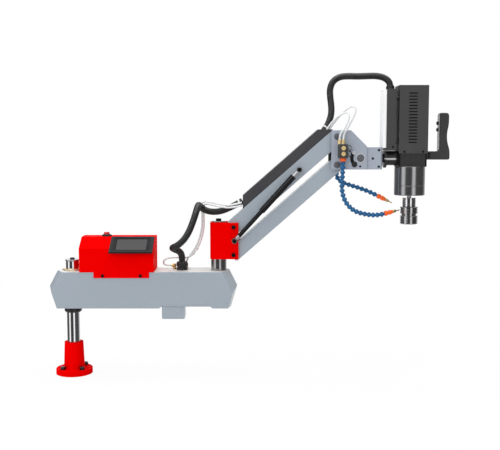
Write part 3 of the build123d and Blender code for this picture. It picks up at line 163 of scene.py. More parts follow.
# toolMarks: fine lines left by turning or brushing, drawn out along the two short axes of Stretch
marksGroup, given, result = newGroup(
    "toolMarks",
    [("Vector", vector, None), ("Stretch", vector, (5.0, 5.0, 900.0)), ("Color", colour, (0.6, 0.6, 0.6, 1)),
     ("Shade", colour, (0.4, 0.4, 0.4, 1)), ("Rough", number, 0.2), ("Spread", number, 0.12)],
    [("Color", colour), ("Roughness", number), ("Height", number)])
drawn = node(marksGroup, "ShaderNodeVectorMath", {0: given["Vector"], 1: given["Stretch"]},
             operation="MULTIPLY").outputs[0]
lines = noise(marksGroup, drawn, 1.0, 3.0, 0.6)
lineShare = ranged(marksGroup, lines, 0.35, 0.7)
stained = mathNode(marksGroup, "MULTIPLY", lineShare, noise(marksGroup, given["Vector"], 35.0, 3.0))
rough = mathNode(marksGroup, "ADD", given["Rough"], mathNode(marksGroup, "MULTIPLY", lineShare, given["Spread"]))
feed(marksGroup, result, {"Color": mixColor(marksGroup, stained, given["Color"], given["Shade"]),
                          "Roughness": rough, "Height": lines})

# what a finish has unless its own row says otherwise
usualLook = {"patch": 9.0, "share": 0.6, "grain": 700.0, "edge": 0.0012, "wearAndSheen": 0.5, "bump": 0.1,
             "depth": 0.0004, "metal": 0.0, "coat": 0.0, "coatRough": 0.08, "ior": 1.5, "gloss": 0.5}


def makeFinish(name, color, shade, rough, spread, **own):
    look = {**usualLook, **own}
    material = bpy.data.materials.new(name)
    material.use_nodes = True
    tree = material.node_tree
    spot = tree.nodes.new("ShaderNodeTexCoord").outputs["Object"]
    values = {"Vector": spot, "Color": tone(*color), "Shade": tone(*shade), "Rough": rough, "Spread": spread}
    if "stretch" in look:
        base = node(tree, "ShaderNodeGroup", {**values, "Stretch": look["stretch"]}, node_tree=marksGroup)
    else:
        base = node(tree, "ShaderNodeGroup", {**values, "Patch": look["patch"], "Share": look["share"],
                                              "Grain": look["grain"]}, node_tree=grainGroup)
    shown = base.outputs["Color"]
    # lighter edges: rubbed paint and a painted edge highlight
    if "wornLit" in look:
        shown = node(tree, "ShaderNodeGroup", {"Vector": spot, "Color": shown, "WornLit": tone(*look["wornLit"]),
                                               "Radius": look["edge"], "Amount": look["wearAndSheen"]},
                     node_tree=edgeSheenGroup).outputs["Color"]
    bump = node(tree, "ShaderNodeBump", {"Height": base.outputs["Height"], "Strength": look["bump"],
                                         "Distance": look["depth"]})
    feed(tree, tree.nodes["Principled BSDF"], {
        "Base Color": shown, "Roughness": base.outputs["Roughness"], "Normal": bump.outputs["Normal"],
        "Metallic": look["metal"], "Coat Weight": look["coat"], "Coat Roughness": look["coatRough"],
        "IOR": look["ior"], "Specular IOR Level": look["gloss"]})
    return material


# each finish: its colour and shade as screen values, roughness and spread, then what is its own
finish = {}
for name, look in {
    "redPaint": ((240, 0, 0), (226, 0, 0), 0.5, 0.12, {"gloss": 0.02, "ior": 1.2, "wornLit": (255, 40, 30), "wearAndSheen": 0.2,
        "grain": 420.0}),
    "greyPaint": ((163, 173, 183), (156, 167, 177), 0.34, 0.12, {"coat": 0.3, "coatRough": 0.14,
        "wornLit": (216, 220, 226), "wearAndSheen": 0.55, "grain": 420.0}),
    "lightPaint": ((164, 172, 185), (154, 163, 177), 0.36, 0.12, {"coat": 0.2, "coatRough": 0.16,
        "wornLit": (222, 226, 232), "grain": 420.0}),
    "charcoalSheet": ((60, 59, 63), (52, 51, 55), 0.55, 0.16, {"wornLit": (96, 95, 100), "grain": 1300.0, "bump": 0.25}),
    "coverPaint": ((62, 62, 63), (52, 52, 53), 0.5, 0.14, {"wornLit": (98, 98, 100), "wearAndSheen": 0.6, "grain": 1100.0,
        "bump": 0.22}),
    "blackGloss": ((164, 164, 166), (140, 140, 142), 0.13, 0.06, {"metal": 0.9, "bump": 0.02}),
    "springBlack": ((40, 40, 42), (30, 30, 32), 0.2, 0.08, {"metal": 0.85, "bump": 0.02}),
    "chuckSteel": ((186, 186, 188), (124, 124, 126), 0.13, 0.1, {"metal": 1.0, "stretch": (6.0, 6.0, 1100.0),
        "bump": 0.03}),
    "castBlack": ((40, 40, 41), (28, 28, 29), 0.55, 0.2, {"wornLit": (86, 86, 88), "wearAndSheen": 0.7, "grain": 500.0,
        "bump": 0.6, "depth": 0.0008, "patch": 60.0}),
    "chrome": ((226, 226, 228), (190, 190, 193), 0.09, 0.1, {"metal": 1.0, "stretch": (6.0, 6.0, 1400.0),
        "bump": 0.02}),
    "steel": ((196, 196, 198), (140, 140, 142), 0.22, 0.16, {"metal": 1.0, "stretch": (6.0, 6.0, 1100.0),
        "bump": 0.04}),
    "darkSteel": ((78, 78, 80), (50, 50, 52), 0.28, 0.16, {"metal": 1.0, "stretch": (6.0, 6.0, 1100.0),
        "bump": 0.05}),
    "aluminium": ((214, 215, 218), (184, 185, 188), 0.34, 0.14, {"metal": 1.0, "stretch": (900.0, 6.0, 6.0),
        "bump": 0.04}),
    "paleBrass": ((232, 216, 184), (206, 184, 142), 0.3, 0.14, {"metal": 1.0, "stretch": (6.0, 6.0, 900.0),
        "bump": 0.04}),
    "brass": ((232, 206, 152), (198, 162, 104), 0.26, 0.16, {"metal": 1.0, "stretch": (6.0, 6.0, 900.0),
        "bump": 0.04}),
    "capBrass": ((240, 214, 158), (214, 182, 122), 0.34, 0.12, {"metal": 0.4, "bump": 0.04}),
    "blackPlastic": ((32, 32, 33), (25, 25, 26), 0.42, 0.12, {"wornLit": (66, 66, 68), "wearAndSheen": 0.4, "grain": 1500.0,
        "bump": 0.2}),
    "gripPlastic": ((52, 52, 54), (42, 42, 44), 0.5, 0.14, {"wornLit": (92, 92, 95), "wearAndSheen": 0.4, "grain": 1500.0,
        "bump": 0.3}),
    # bezelPlastic: its lighter edges are mostly a painted highlight along the frame's steps
    "bezelPlastic": ((22, 23, 27), (16, 17, 20), 0.5, 0.12, {"gloss": 0.2, "wornLit": (92, 95, 100), "wearAndSheen": 0.8,
        "edge": 0.0007, "grain": 1500.0, "bump": 0.2}),
    "screenGlass": ((49, 49, 49), (45, 45, 46), 0.3, 0.04, {"gloss": 0.25, "bump": 0.0, "grain": 300.0}),
    "collarBlack": ((38, 38, 40), (28, 28, 30), 0.4, 0.14, {"wornLit": (92, 92, 95), "wearAndSheen": 0.6, "grain": 900.0,
        "bump": 0.15}),
    "shaftBlack": ((48, 49, 52), (38, 39, 41), 0.26, 0.1, {"metal": 0.75, "bump": 0.03}),
    "pinGrey": ((104, 106, 112), (84, 86, 92), 0.5, 0.16, {"metal": 0.35, "wornLit": (168, 170, 176), "wearAndSheen": 0.8,
        "edge": 0.0008, "bump": 0.2}),
    "screwBlack": ((13, 13, 16), (8, 8, 10), 0.5, 0.15, {"gloss": 0.15}),
    # topPaleAndLit: a paler top for the beam, which also paints in the light from above
    "topPaleAndLit": ((214, 217, 214), (206, 209, 206), 0.5, 0.1, {"bump": 0.08}),
    # sinkPaintedGlare: the metal heat sink painted near white and not metallic, a painted highlight for the glare on
    # its fins
    "sinkPaintedGlare": ((254, 254, 254), (246, 247, 248), 0.5, 0.12, {"bump": 0.08}),
    "redPlastic": ((205, 20, 16), (178, 10, 10), 0.3, 0.08, {"coat": 0.4, "bump": 0.05}),
    "orangePlastic": ((255, 106, 20), (236, 86, 8), 0.38, 0.1, {"wornLit": (255, 160, 96), "wearAndSheen": 0.4, "grain": 1200.0,
        "bump": 0.12}),
    "bluePlastic": ((8, 96, 150), (4, 80, 130), 0.36, 0.1, {"wornLit": (66, 146, 204), "wearAndSheen": 0.4, "grain": 1200.0,
        "bump": 0.12}),
    "hosePlastic": ((28, 29, 30), (20, 21, 22), 0.36, 0.12, {"wornLit": (86, 87, 88), "wearAndSheen": 0.35, "edge": 0.0006,
        "grain": 1400.0, "bump": 0.12}),
    "rubber": ((30, 30, 31), (22, 22, 23), 0.72, 0.12, {"wornLit": (58, 58, 60), "grain": 900.0, "bump": 0.3}),
    "tiePlastic": ((222, 222, 218), (204, 204, 200), 0.4, 0.1, {"bump": 0.08}),
    "plateGrey": ((196, 198, 202), (182, 184, 188), 0.4, 0.1, {}),
    "clearTube": ((228, 229, 230), (216, 218, 220), 0.35, 0.06, {"ior": 1.2, "grain": 240.0, "bump": 0.0,
        "patch": 60.0}),
}.items():
    finish[name] = makeFinish(name, *look[:4], **look[4])
print("finishes made:", len(finish))


# hoses and tubes, each on the smooth line through its route's points
def routeOf(name, points):
    curve = bpy.data.curves.new(name, "CURVE")
    curve.dimensions = "3D"
    spline = curve.splines.new("NURBS")
    spline.points.add(len(points) - 1)
    for point, spot in zip(spline.points, points):
        point.co = (*spot, 1)
    spline.order_u = 3
    spline.use_endpoint_u = True
    spline.resolution_u = 16
    line = bpy.data.objects.new(name, curve)
    scene.collection.objects.link(line)
    bpy.context.view_layer.update()
    mesh = bpy.data.meshes.new_from_object(line)
    spots = [vertex.co.copy() for vertex in mesh.vertices]
    bpy.data.objects.remove(line)
    bpy.data.meshes.remove(mesh)
    return spots


def lengthOf(spots):
    return sum((after - before).length for before, after in zip(spots, spots[1:]))


def evenly(spots, step):  # the same line, with points a step apart
    travelled = [0.0]
    for before, after in zip(spots, spots[1:]):
        travelled.append(travelled[-1] + (after - before).length)
    steps = max(2, round(travelled[-1] / step))
    result, at = [], 0
    for place in range(steps + 1):
        wanted = travelled[-1] * place / steps
        while at < len(spots) - 2 and travelled[at + 1] < wanted:
            at += 1
        span = max(travelled[at + 1] - travelled[at], 1e-9)
        result.append(spots[at].lerp(spots[at + 1], min(1.0, (wanted - travelled[at]) / span)))
    return result


smoothAngles = {"hose": 50, "shell": 38, "turned": 38}  # sharper edges than this stay sharp


def smoothed(piece, degrees):
    pick(piece)
    bpy.ops.object.shade_smooth_by_angle(angle=math.radians(degrees))
    settle()
    return piece


def tube(name, spots, radiusAt, sides=24):  # rings along the line, turned as little as possible
    corners, faces = [], []
    across = Vector((0, 1, 0))
    for at, spot in enumerate(spots):
        way = (spots[min(at + 1, len(spots) - 1)] - spots[max(at - 1, 0)]).normalized()
        across = (across - way * across.dot(way)).normalized()
        other = way.cross(across)
        for side in range(sides):
            turn = 2 * math.pi * side / sides
            corners.append(spot + (across * math.cos(turn) + other * math.sin(turn)) * radiusAt(at))
    for at in range(len(spots) - 1):
        for side in range(sides):
            after = (side + 1) % sides
            faces.append((at * sides + side, at * sides + after, (at + 1) * sides + after, (at + 1) * sides + side))
    faces.append(tuple(reversed(range(sides))))
    faces.append(tuple(range(len(corners) - sides, len(corners))))
    mesh = bpy.data.meshes.new(name)
    mesh.from_pydata(corners, [], faces)
    piece = bpy.data.objects.new(name, mesh)
    scene.collection.objects.link(piece)
    return smoothed(piece, smoothAngles["hose"])


def laid(piece, look, slotName, bodies, start, end):  # start and end: not used
    piece.data.materials.append(finish[look])
    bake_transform(piece)
    return piece


hoseSet = {"radius": 0.011, "ribDepth": 0.0009, "ribPitch": 0.004, "width": 0.021, "upperRings": 136,
           "wave": (0.0, 0.75, 1.0, 0.35)}  # wave: how deep each ring of one rib lies
ringsPerRib = len(hoseSet["wave"])


def conduit(name, spots, first, last, *zone):  # one stretch of ribbed conduit, from ring to ring
    def radiusAt(at):
        return hoseSet["radius"] - hoseSet["ribDepth"] * hoseSet["wave"][(first + at) % ringsPerRib]

    stretch = spots[first:last + 1]
    piece = laid(tube(name, stretch, radiusAt), "hosePlastic", "hose_plastic", *zone)
    return piece


elbowHoseRoute = [
    (0.36, 0, 0.373), (0.36, 0, 0.391), (0.354, -0.02, 0.408), (0.338, -0.047, 0.419),
    (0.334, -0.072, 0.426), (0.352, -0.09, 0.434), (0.376, -0.092, 0.456), (0.391, -0.09, 0.482),
    (0.402, -0.086, 0.51), (0.411, -0.079, 0.538), (0.416, -0.062, 0.557), (0.418, -0.04, 0.561),
    (0.422, -0.021, 0.554), (0.434, -0.006, 0.542), (0.454, 0, 0.535), (0.484, 0, 0.536),
    (0.511, 0, 0.546), (0.535, 0, 0.558), (0.558, 0, 0.571)]
headHoseRoute = [
    (0.815, 0, 0.79), (0.828, 0, 0.807), (0.839, 0, 0.83), (0.845, 0, 0.854),
    (0.844, 0, 0.88), (0.84, 0, 0.906), (0.839, 0, 0.932), (0.848, 0, 0.956),
    (0.87, 0, 0.97), (0.897, 0, 0.972), (0.926, 0, 0.971), (0.956, 0, 0.972),
    (0.984, 0, 0.973), (1.009, 0, 0.969), (1.028, 0, 0.957), (1.033, 0, 0.941),
    (1.033, 0, 0.93)]
ringGap = hoseSet["ribPitch"] / ringsPerRib
elbowLine = evenly(routeOf("elbowHoseLine", elbowHoseRoute), ringGap)
headLine = evenly(routeOf("headHoseLine", headHoseRoute), ringGap)
elbowCut = len(elbowLine) - 1 - hoseSet["upperRings"]
footCut, topCut = len(headLine) // 3, 2 * len(headLine) // 3
hoseZones = {
    "elbowHoseLower": (("beam", "elbow"), (0.36, 0, 0.373), tuple(elbowLine[elbowCut - ringsPerRib])),
    "elbowHoseUpper": (("elbow", "upper_arm"), (0.487, 0, 0.538), (0.545, 0, 0.563)),
    "headHoseFoot": (("upper_arm", "head_carrier"), (0.82, 0, 0.797), (0.845, 0, 0.87)),
    "headHoseRise": (("head_carrier", "tilt_knuckle"), tuple(headLine[footCut]), tuple(headLine[topCut])),
    "headHoseTop": (("tilt_knuckle", "motor_head"), tuple(headLine[topCut]), (1.028, 0, 0.957)),
}
for name, line, first, last in (
        ("elbowHoseLower", elbowLine, 0, elbowCut), ("elbowHoseUpper", elbowLine, elbowCut, len(elbowLine) - 1),
        ("headHoseFoot", headLine, 0, footCut), ("headHoseRise", headLine, footCut, topCut),
        ("headHoseTop", headLine, topCut, len(headLine) - 1)):
    conduit(name, line, first, last, *hoseZones[name])
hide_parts("elbow_hose")
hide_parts("head_hose")


tieEnds = 0.93  # a tie's first and last ring, as a share of its radius


def tieRound(name, line, centre, half, radius, *rest):  # half: the line's rings on either side of the centre
    nearest = min(range(len(line)), key=lambda at: (line[at] - Vector(centre)).length)
    stretch = line[max(0, nearest - half):nearest + half + 1]
    last = len(stretch) - 1
    return laid(tube(name, stretch, lambda at: radius * (tieEnds if at in (0, last) else 1.0)), *rest)


for name, line, centre, half, radius, look, slotName, zone in (
        ("elbowHoseTie", elbowLine, (0.5485, 0, 0.566), 3, 0.0125, "tiePlastic", "clear_tube",
         hoseZones["elbowHoseUpper"]),
        ("headHoseTie", headLine, (0.829, 0, 0.808), 3, 0.0125, "tiePlastic", "clear_tube", hoseZones["headHoseFoot"]),
        ("headHoseCollar", headLine, (1.033, 0, 0.936), 5, 0.0135, "blackPlastic", "black_plastic",
         (("tilt_knuckle", "motor_head"), tuple(headLine[topCut]), (1.0, 0, 0.97)))):
    tieRound(name, line, centre, half, radius, look, slotName, *zone)

tubeRoutes = {
    "elbowTubeOne": [
        (0.323, 0.014, 0.3575), (0.311, 0.014, 0.357), (0.298, 0.015, 0.361), (0.297, 0.016, 0.372),
        (0.308, 0.018, 0.38), (0.326, 0.02, 0.3825), (0.348, 0.022, 0.382), (0.37, 0.022, 0.381),
        (0.39, 0.021, 0.388), (0.408, 0.018, 0.41), (0.4225, 0.014, 0.443), (0.4315, 0.01, 0.482),
        (0.4315, 0.006, 0.522), (0.4295, 0.004, 0.548), (0.434, 0, 0.562), (0.452, -0.008, 0.561),
        (0.486, -0.015, 0.5525), (0.522, -0.018, 0.549), (0.556, -0.018, 0.557)],
    "elbowTubeTwo": [
        (0.372, 0.03, 0.36), (0.372, 0.03, 0.374), (0.386, 0.028, 0.391), (0.402, 0.026, 0.413),
        (0.4165, 0.023, 0.447), (0.4255, 0.019, 0.487), (0.425, 0.014, 0.524), (0.4225, 0.012, 0.551),
        (0.4265, 0.008, 0.568), (0.452, 0, 0.5675), (0.487, -0.008, 0.5595), (0.522, -0.013, 0.5565),
        (0.556, -0.017, 0.567)],
    "headTubeOne": [
        (0.83, -0.017, 0.792), (0.842, -0.018, 0.81), (0.86, -0.026, 0.834), (0.882, -0.038, 0.86),
        (0.902, -0.048, 0.874), (0.916, -0.054, 0.872), (0.916, -0.057, 0.855), (0.905, -0.058, 0.831),
        (0.892, -0.058, 0.806), (0.878, -0.058, 0.786), (0.878, -0.058, 0.769)],
    "headTubeTwo": [
        (0.822, -0.018, 0.789), (0.832, -0.019, 0.808), (0.85, -0.03, 0.832), (0.872, -0.045, 0.85),
        (0.889, -0.056, 0.856), (0.896, -0.065, 0.845), (0.891, -0.068, 0.826), (0.881, -0.065, 0.804),
        (0.866, -0.058, 0.787), (0.866, -0.058, 0.769)],
}
tubeSet = {"radius": 0.003, "sides": 16, "step": 0.002, "elbowCut": 0.462, "tieHalf": 1, "tieRadius": 0.0048,
           "elbowEnd": (0.545, -0.016, 0.568), "headStart": 2, "headEnd": (0.872, -0.045, 0.852)}
tubeLines = {name: evenly(routeOf(name + "Line", points), tubeSet["step"]) for name, points in tubeRoutes.items()}


def clearLine(name, line, *zone):
    piece = laid(tube(name, line, lambda at: tubeSet["radius"], sides=tubeSet["sides"]), "clearTube", "clear_tube",
                 *zone)
    return piece


tubePieces, tubeZones = {}, {}
for name in ("elbowTubeOne", "elbowTubeTwo"):  # cut above the hinge block, into one piece on each side of the joint
    line = tubeLines[name]
    top = max(at for at, spot in enumerate(line) if spot.x < tubeSet["elbowCut"])
    tubeZones[name] = (("beam", "elbow"), tuple(line[0]), tuple(line[top]))
    tubePieces[name] = clearLine(name + "Lower", line[:top + 1], *tubeZones[name])
    clearLine(name + "Upper", line[top:], ("elbow", "upper_arm"), tuple(line[top]), tubeSet["elbowEnd"])
for name in ("headTubeOne", "headTubeTwo"):
    line = tubeLines[name]
    tubePieces[name] = clearLine(name, line, ("upper_arm", "head_carrier"), tuple(line[tubeSet["headStart"]]),
                                 tubeSet["headEnd"])
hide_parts("elbow_tubes")
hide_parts("head_tubes")
for name, centre in (("tubeTieLow", (0.3972, 0.021, 0.3946)), ("tubeTieMid", (0.406, 0.02, 0.4152))):
    tieRound(name, tubeLines["elbowTubeOne"], centre, tubeSet["tieHalf"], tubeSet["tieRadius"], "tiePlastic",
             "clear_tube", *tubeZones["elbowTubeOne"])

# world: white to the camera, plain light on the object, a little stronger from the left, and a studio of
# panels in the reflections; bands: azimuth (0.25 at -X, 0.5 at the camera's side, 0.75 at +X) and brightness;
# ceiling and ground: heights between which they fade in, and their brightness
worldSet = {"left": 0.92, "right": 0.54, "ceiling": (0.35, 0.7, 0.95), "ground": (-0.25, -0.6, 0.5), "bands": [
    (0, 1.3), (0.05, 1.2), (0.09, 0.2), (0.29, 0.05), (0.322, 1.35), (0.366, 1.35), (0.398, 0.05),
    (0.515, 0.05), (0.542, 1.35), (0.58, 1.35), (0.608, 0.07), (0.79, 0.08), (0.88, 0.8), (1.0, 1.3)]}
world = bpy.data.worlds.new("studio")
scene.world = world
world.use_nodes = True
tree = world.node_tree
background = tree.nodes["Background"]
direction = tree.nodes.new("ShaderNodeTexCoord").outputs["Generated"]
parts = node(tree, "ShaderNodeSeparateXYZ", {0: direction})
azimuth = mathNode(tree, "ARCTAN2", parts.outputs["X"], mathNode(tree, "MULTIPLY", parts.outputs["Y"], -1.0))
bands = node(tree, "ShaderNodeValToRGB", {"Fac": ranged(tree, azimuth, -math.pi, math.pi)})
ramp = bands.color_ramp
for count, (spot, level) in enumerate(worldSet["bands"]):
    stop = ramp.elements[count] if count < 2 else ramp.elements.new(spot)
    stop.position = spot
    stop.color = (level, level, level, 1)
mirrorLight = bands.outputs["Color"]
for low, high, level in (worldSet["ceiling"], worldSet["ground"]):
    mirrorLight = mixColor(tree, ranged(tree, parts.outputs["Z"], low, high), mirrorLight, (level, level, level, 1))
rays = tree.nodes.new("ShaderNodeLightPath").outputs
plainShare = ranged(tree, parts.outputs["X"], -1.0, 1.0, worldSet["left"], worldSet["right"])
plainLight = mixColor(tree, plainShare, (0, 0, 0, 1), (1, 1, 1, 1))
lit = mixColor(tree, rays["Is Glossy Ray"], plainLight, mirrorLight)
feed(tree, background, {"Color": mixColor(tree, rays["Is Camera Ray"], lit, (1, 1, 1, 1)), "Strength": 1.0})

# lamps: a wide top panel, and a softer one from the photographer's side
lampSet = {
    "topPanel": {"location": (0.45, -0.1, 3.2), "aim": (0.45, 0.0, 0.3), "size": (3.0, 2.0), "power": 62},
    "frontPanel": {"location": (-0.9, -3.2, 2.0), "aim": (0.5, 0.0, 0.5), "size": (1.6, 1.6), "power": 24},
}
for name, lamp in lampSet.items():
    settle()
    bpy.ops.object.light_add(type="AREA", location=lamp["location"])
    panel = bpy.context.object
    panel.name = name
    panel.data.shape = "RECTANGLE"
    panel.data.size, panel.data.size_y = lamp["size"]
    panel.data.energy = lamp["power"]
    way = Vector(lamp["aim"]) - Vector(lamp["location"])
    panel.rotation_euler = way.to_track_quat("-Z", "Y").to_euler()

# floor: white to the camera, with a faint shadow of the part; mirrors see the studio's panels past it
floorSet = {"size": 24.0, "color": (0.8, 0.8, 0.8, 1), "rough": 0.9, "white": 0.93, "middle": (0.5, 0, 0),
            "near": 0.7, "far": 2.2}
settle()
bpy.ops.mesh.primitive_plane_add(size=floorSet["size"], location=(0, 0, 0))
floor = bpy.context.object
floor.name = "floor"
floorPaint = bpy.data.materials.new("floorPaint")
floorPaint.use_nodes = True
tree = floorPaint.node_tree
shader = feed(tree, tree.nodes["Principled BSDF"], {"Base Color": floorSet["color"], "Roughness": floorSet["rough"],
                                                    "Specular IOR Level": 0.0})
glow = node(tree, "ShaderNodeEmission", {"Color": (1, 1, 1, 1), "Strength": 1.0})
rays = tree.nodes.new("ShaderNodeLightPath").outputs
fromMiddle = node(tree, "ShaderNodeVectorMath",
                  {0: tree.nodes.new("ShaderNodeTexCoord").outputs["Object"], 1: floorSet["middle"]},
                  operation="DISTANCE").outputs["Value"]
fading = ranged(tree, fromMiddle, floorSet["near"], floorSet["far"], floorSet["white"], 1.0)
whiteShare = mathNode(tree, "MULTIPLY", rays["Is Camera Ray"], fading)
shown = node(tree, "ShaderNodeMixShader", {0: whiteShare, 1: shader.outputs[0], 2: glow.outputs[0]})
openFloor = node(tree, "ShaderNodeBsdfTransparent")
mirrored = node(tree, "ShaderNodeMixShader", {0: rays["Is Glossy Ray"], 1: shown.outputs[0], 2: openFloor.outputs[0]})
feed(tree, tree.nodes["Material Output"], {"Surface": mirrored.outputs[0]})
floor.data.materials.append(floorPaint)
print("camera, world, lamps and floor in place")


# modelling helpers
slotOf = {row["node"]: row["material_slot"] for row in frame["record"]["subparts"]}
bodyOf = {label: body for body, labels in frame["record"]["behaviour"]["bodies"].items() for label in labels}


def dress(piece, look, body, slot, replaced=None, name=None):
    piece.data.materials.clear()
    piece.data.materials.append(finish[look])
    if name:
        piece.name = name
    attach(piece, body)
    if replaced:
        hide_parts(replaced)
    return piece


def applyAll(piece):
    pick(piece)
    for modifier in list(piece.modifiers):
        bpy.ops.object.modifier_apply(modifier=modifier.name)
    settle()
    return piece


def soften(piece, width, segments=2, angle=32):
    bevel = piece.modifiers.new("roundEdges", "BEVEL")
    bevel.width = width
    bevel.segments = segments
    bevel.limit_method = "ANGLE"
    bevel.angle_limit = math.radians(angle)
    bevel.miter_outer = "MITER_ARC"
    even = piece.modifiers.new("evenShading", "WEIGHTED_NORMAL")
    even.keep_sharp = True
    smoothed(piece, smoothAngles["shell"])
    return applyAll(piece)


def openFaces():  # edit mode with every face chosen
    bpy.ops.object.mode_set(mode="EDIT")
    bpy.ops.mesh.select_mode(type="FACE")
    bpy.ops.mesh.select_all(action="SELECT")


def closeFaces():  # all faces turned outwards, then back to object mode
    bpy.ops.mesh.select_all(action="SELECT")
    bpy.ops.mesh.normals_make_consistent(inside=False)
    settle()


def drawOut(rise):  # the chosen faces extruded up local z
    bpy.ops.mesh.extrude_region_move(TRANSFORM_OT_translate={"value": (0, 0, rise)})


def applyPlace():
    bpy.ops.object.transform_apply(location=True, rotation=True, scale=True)


meshSet = {"weld": 0.00001, "fineWeld": 0.000002, "flat": 1, "same": 1e-9, "upright": 0.95}


def refined(label, width, segments):  # a solid's own shape, its edges rounded
    solid = frame["nodes"][label]
    piece = solid.copy()
    piece.data = solid.data.copy()
    piece.parent = None
    for key in list(piece.keys()):
        del piece[key]
    piece.name = label + "Shell"
    scene.collection.objects.link(piece)
    pick(piece)
    openFaces()
    bpy.ops.mesh.remove_doubles(threshold=meshSet["weld"])
    bpy.ops.mesh.dissolve_limited(angle_limit=math.radians(meshSet["flat"]))
    settle()
    return soften(piece, width, segments)


# ring-shaped and flat parts, drawn as by hand: a start face, extruded, scaled and aimed
def aimed(piece, spot, way):  # local z to the way, local y as near upright as it goes
    depth = Vector(way).normalized()
    up = Vector((0, 0, 1))
    if abs(up.dot(depth)) > meshSet["upright"]:
        up = Vector((0, 1, 0))
    side = up.cross(depth).normalized()
    up = depth.cross(side)
    piece.matrix_world = Matrix.Translation(spot) @ Matrix((side, up, depth)).transposed().to_4x4()
    pick(piece)
    applyPlace()
    settle()
    return piece


def moved(piece, spot):
    piece.data.transform(Matrix.Translation(spot))
    return piece


# profile: (radius, height) round local z
def turned(name, profile, sides=48, bored=False, smooth=smoothAngles["turned"]):
    radius, height = profile[0]
    settle()
    bpy.ops.mesh.primitive_circle_add(vertices=sides, radius=radius, fill_type="NGON", location=(0, 0, height))
    piece = bpy.context.object
    piece.name = name
    applyPlace()
    openFaces()
    for nextRadius, nextHeight in profile[1:]:
        drawOut(nextHeight - height)
        if abs(nextRadius - radius) > meshSet["same"]:
            grow = nextRadius / radius
            bpy.ops.transform.resize(value=(grow, grow, 1), center_override=(0, 0, nextHeight))
        radius, height = nextRadius, nextHeight
    if bored:
        bpy.ops.mesh.select_all(action="DESELECT")
        bpy.ops.mesh.select_face_by_sides(number=4, type="GREATER")
        bpy.ops.mesh.delete(type="FACE")
    bpy.ops.mesh.select_all(action="SELECT")
    bpy.ops.mesh.remove_doubles(threshold=meshSet["fineWeld"])
    closeFaces()
    return smoothed(piece, smooth)


def plate(name, outline, thick):  # outline in local x and y, drawn up local z
    settle()
    bpy.ops.mesh.primitive_circle_add(vertices=len(outline), radius=1, fill_type="NGON", location=(0, 0, 0))
    piece = bpy.context.object
    piece.name = name
    for corner, spot in zip(piece.data.vertices, outline):
        corner.co = (spot[0], spot[1], 0)
    openFaces()
    drawOut(thick)
    closeFaces()
    return piece


def stepped(name, steps):  # rectangles of (width, depth, height), drawn one from the other
    width, depth, height = steps[0]
    settle()
    bpy.ops.mesh.primitive_plane_add(size=1, location=(0, 0, height))
    piece = bpy.context.object
    piece.name = name
    piece.scale = (width, depth, 1)
    applyPlace()
    openFaces()
    for nextWidth, nextDepth, nextHeight in steps[1:]:
        drawOut(nextHeight - height)
        if (nextWidth, nextDepth) != (width, depth):
            bpy.ops.transform.resize(value=(nextWidth / width, nextDepth / depth, 1),
                                     center_override=(0, 0, nextHeight))
        width, depth, height = nextWidth, nextDepth, nextHeight
    closeFaces()
    return piece


def arc(radius, start, end, steps):  # points round the origin, angles in degrees
    turns = [math.radians(start + (end - start) * at / steps) for at in range(steps + 1)]
    return [(radius * math.cos(turn), radius * math.sin(turn)) for turn in turns]


def notched(count, outer, inner):  # the outline of a nut with notches or ribs round it
    outline = []
    for at in range(count * 4):
        turnAt = 2 * math.pi * (at + 0.5) / (count * 4)
        radius = outer if at % 4 in (0, 1) else inner
        outline.append((radius * math.cos(turnAt), radius * math.sin(turnAt)))
    return outline


def copied(piece, name):
    twin = piece.copy()
    twin.data = piece.data.copy()
    twin.name = name
    scene.collection.objects.link(twin)
    return twin


def joined(name, pieces):
    pick(*pieces)
    bpy.ops.object.join()
    piece = bpy.context.object
    piece.name = name
    settle()
    return piece


def removed(*pieces):
    for piece in pieces:
        bpy.data.objects.remove(piece)


def cutBy(spot, size, *pieces):  # a box taken out of each piece
    settle()
    bpy.ops.mesh.primitive_cube_add(size=1, location=spot, scale=size)
    cutter = bpy.context.object
    applyPlace()
    for piece in pieces:
        work = piece.modifiers.new("cut", "BOOLEAN")
        work.operation = "DIFFERENCE"
        work.solver = "EXACT"
        work.object = cutter
        applyAll(piece)
    removed(cutter)


def paintFaces(piece, look, chosen):  # a second finish on the faces that the test picks
    piece.data.materials.append(finish[look])
    for face in piece.data.polygons:
        if chosen(face):
            face.material_index = len(piece.data.materials) - 1


# the head's sizes count from its lower pivot
headSet = {"pivot": (0.860307, 0.689062), "spindle": 0.2397, "valves": 0.0167, "journal": 0.0209}
headX, headZ = headSet["pivot"]
spindleX, valveX, journalZ = headX + headSet["spindle"], headX + headSet["valves"], headZ + headSet["journal"]
toFront, toRear, toRight, toLeft = (0, -1, 0), (0, 1, 0), (1, 0, 0), (-1, 0, 0)

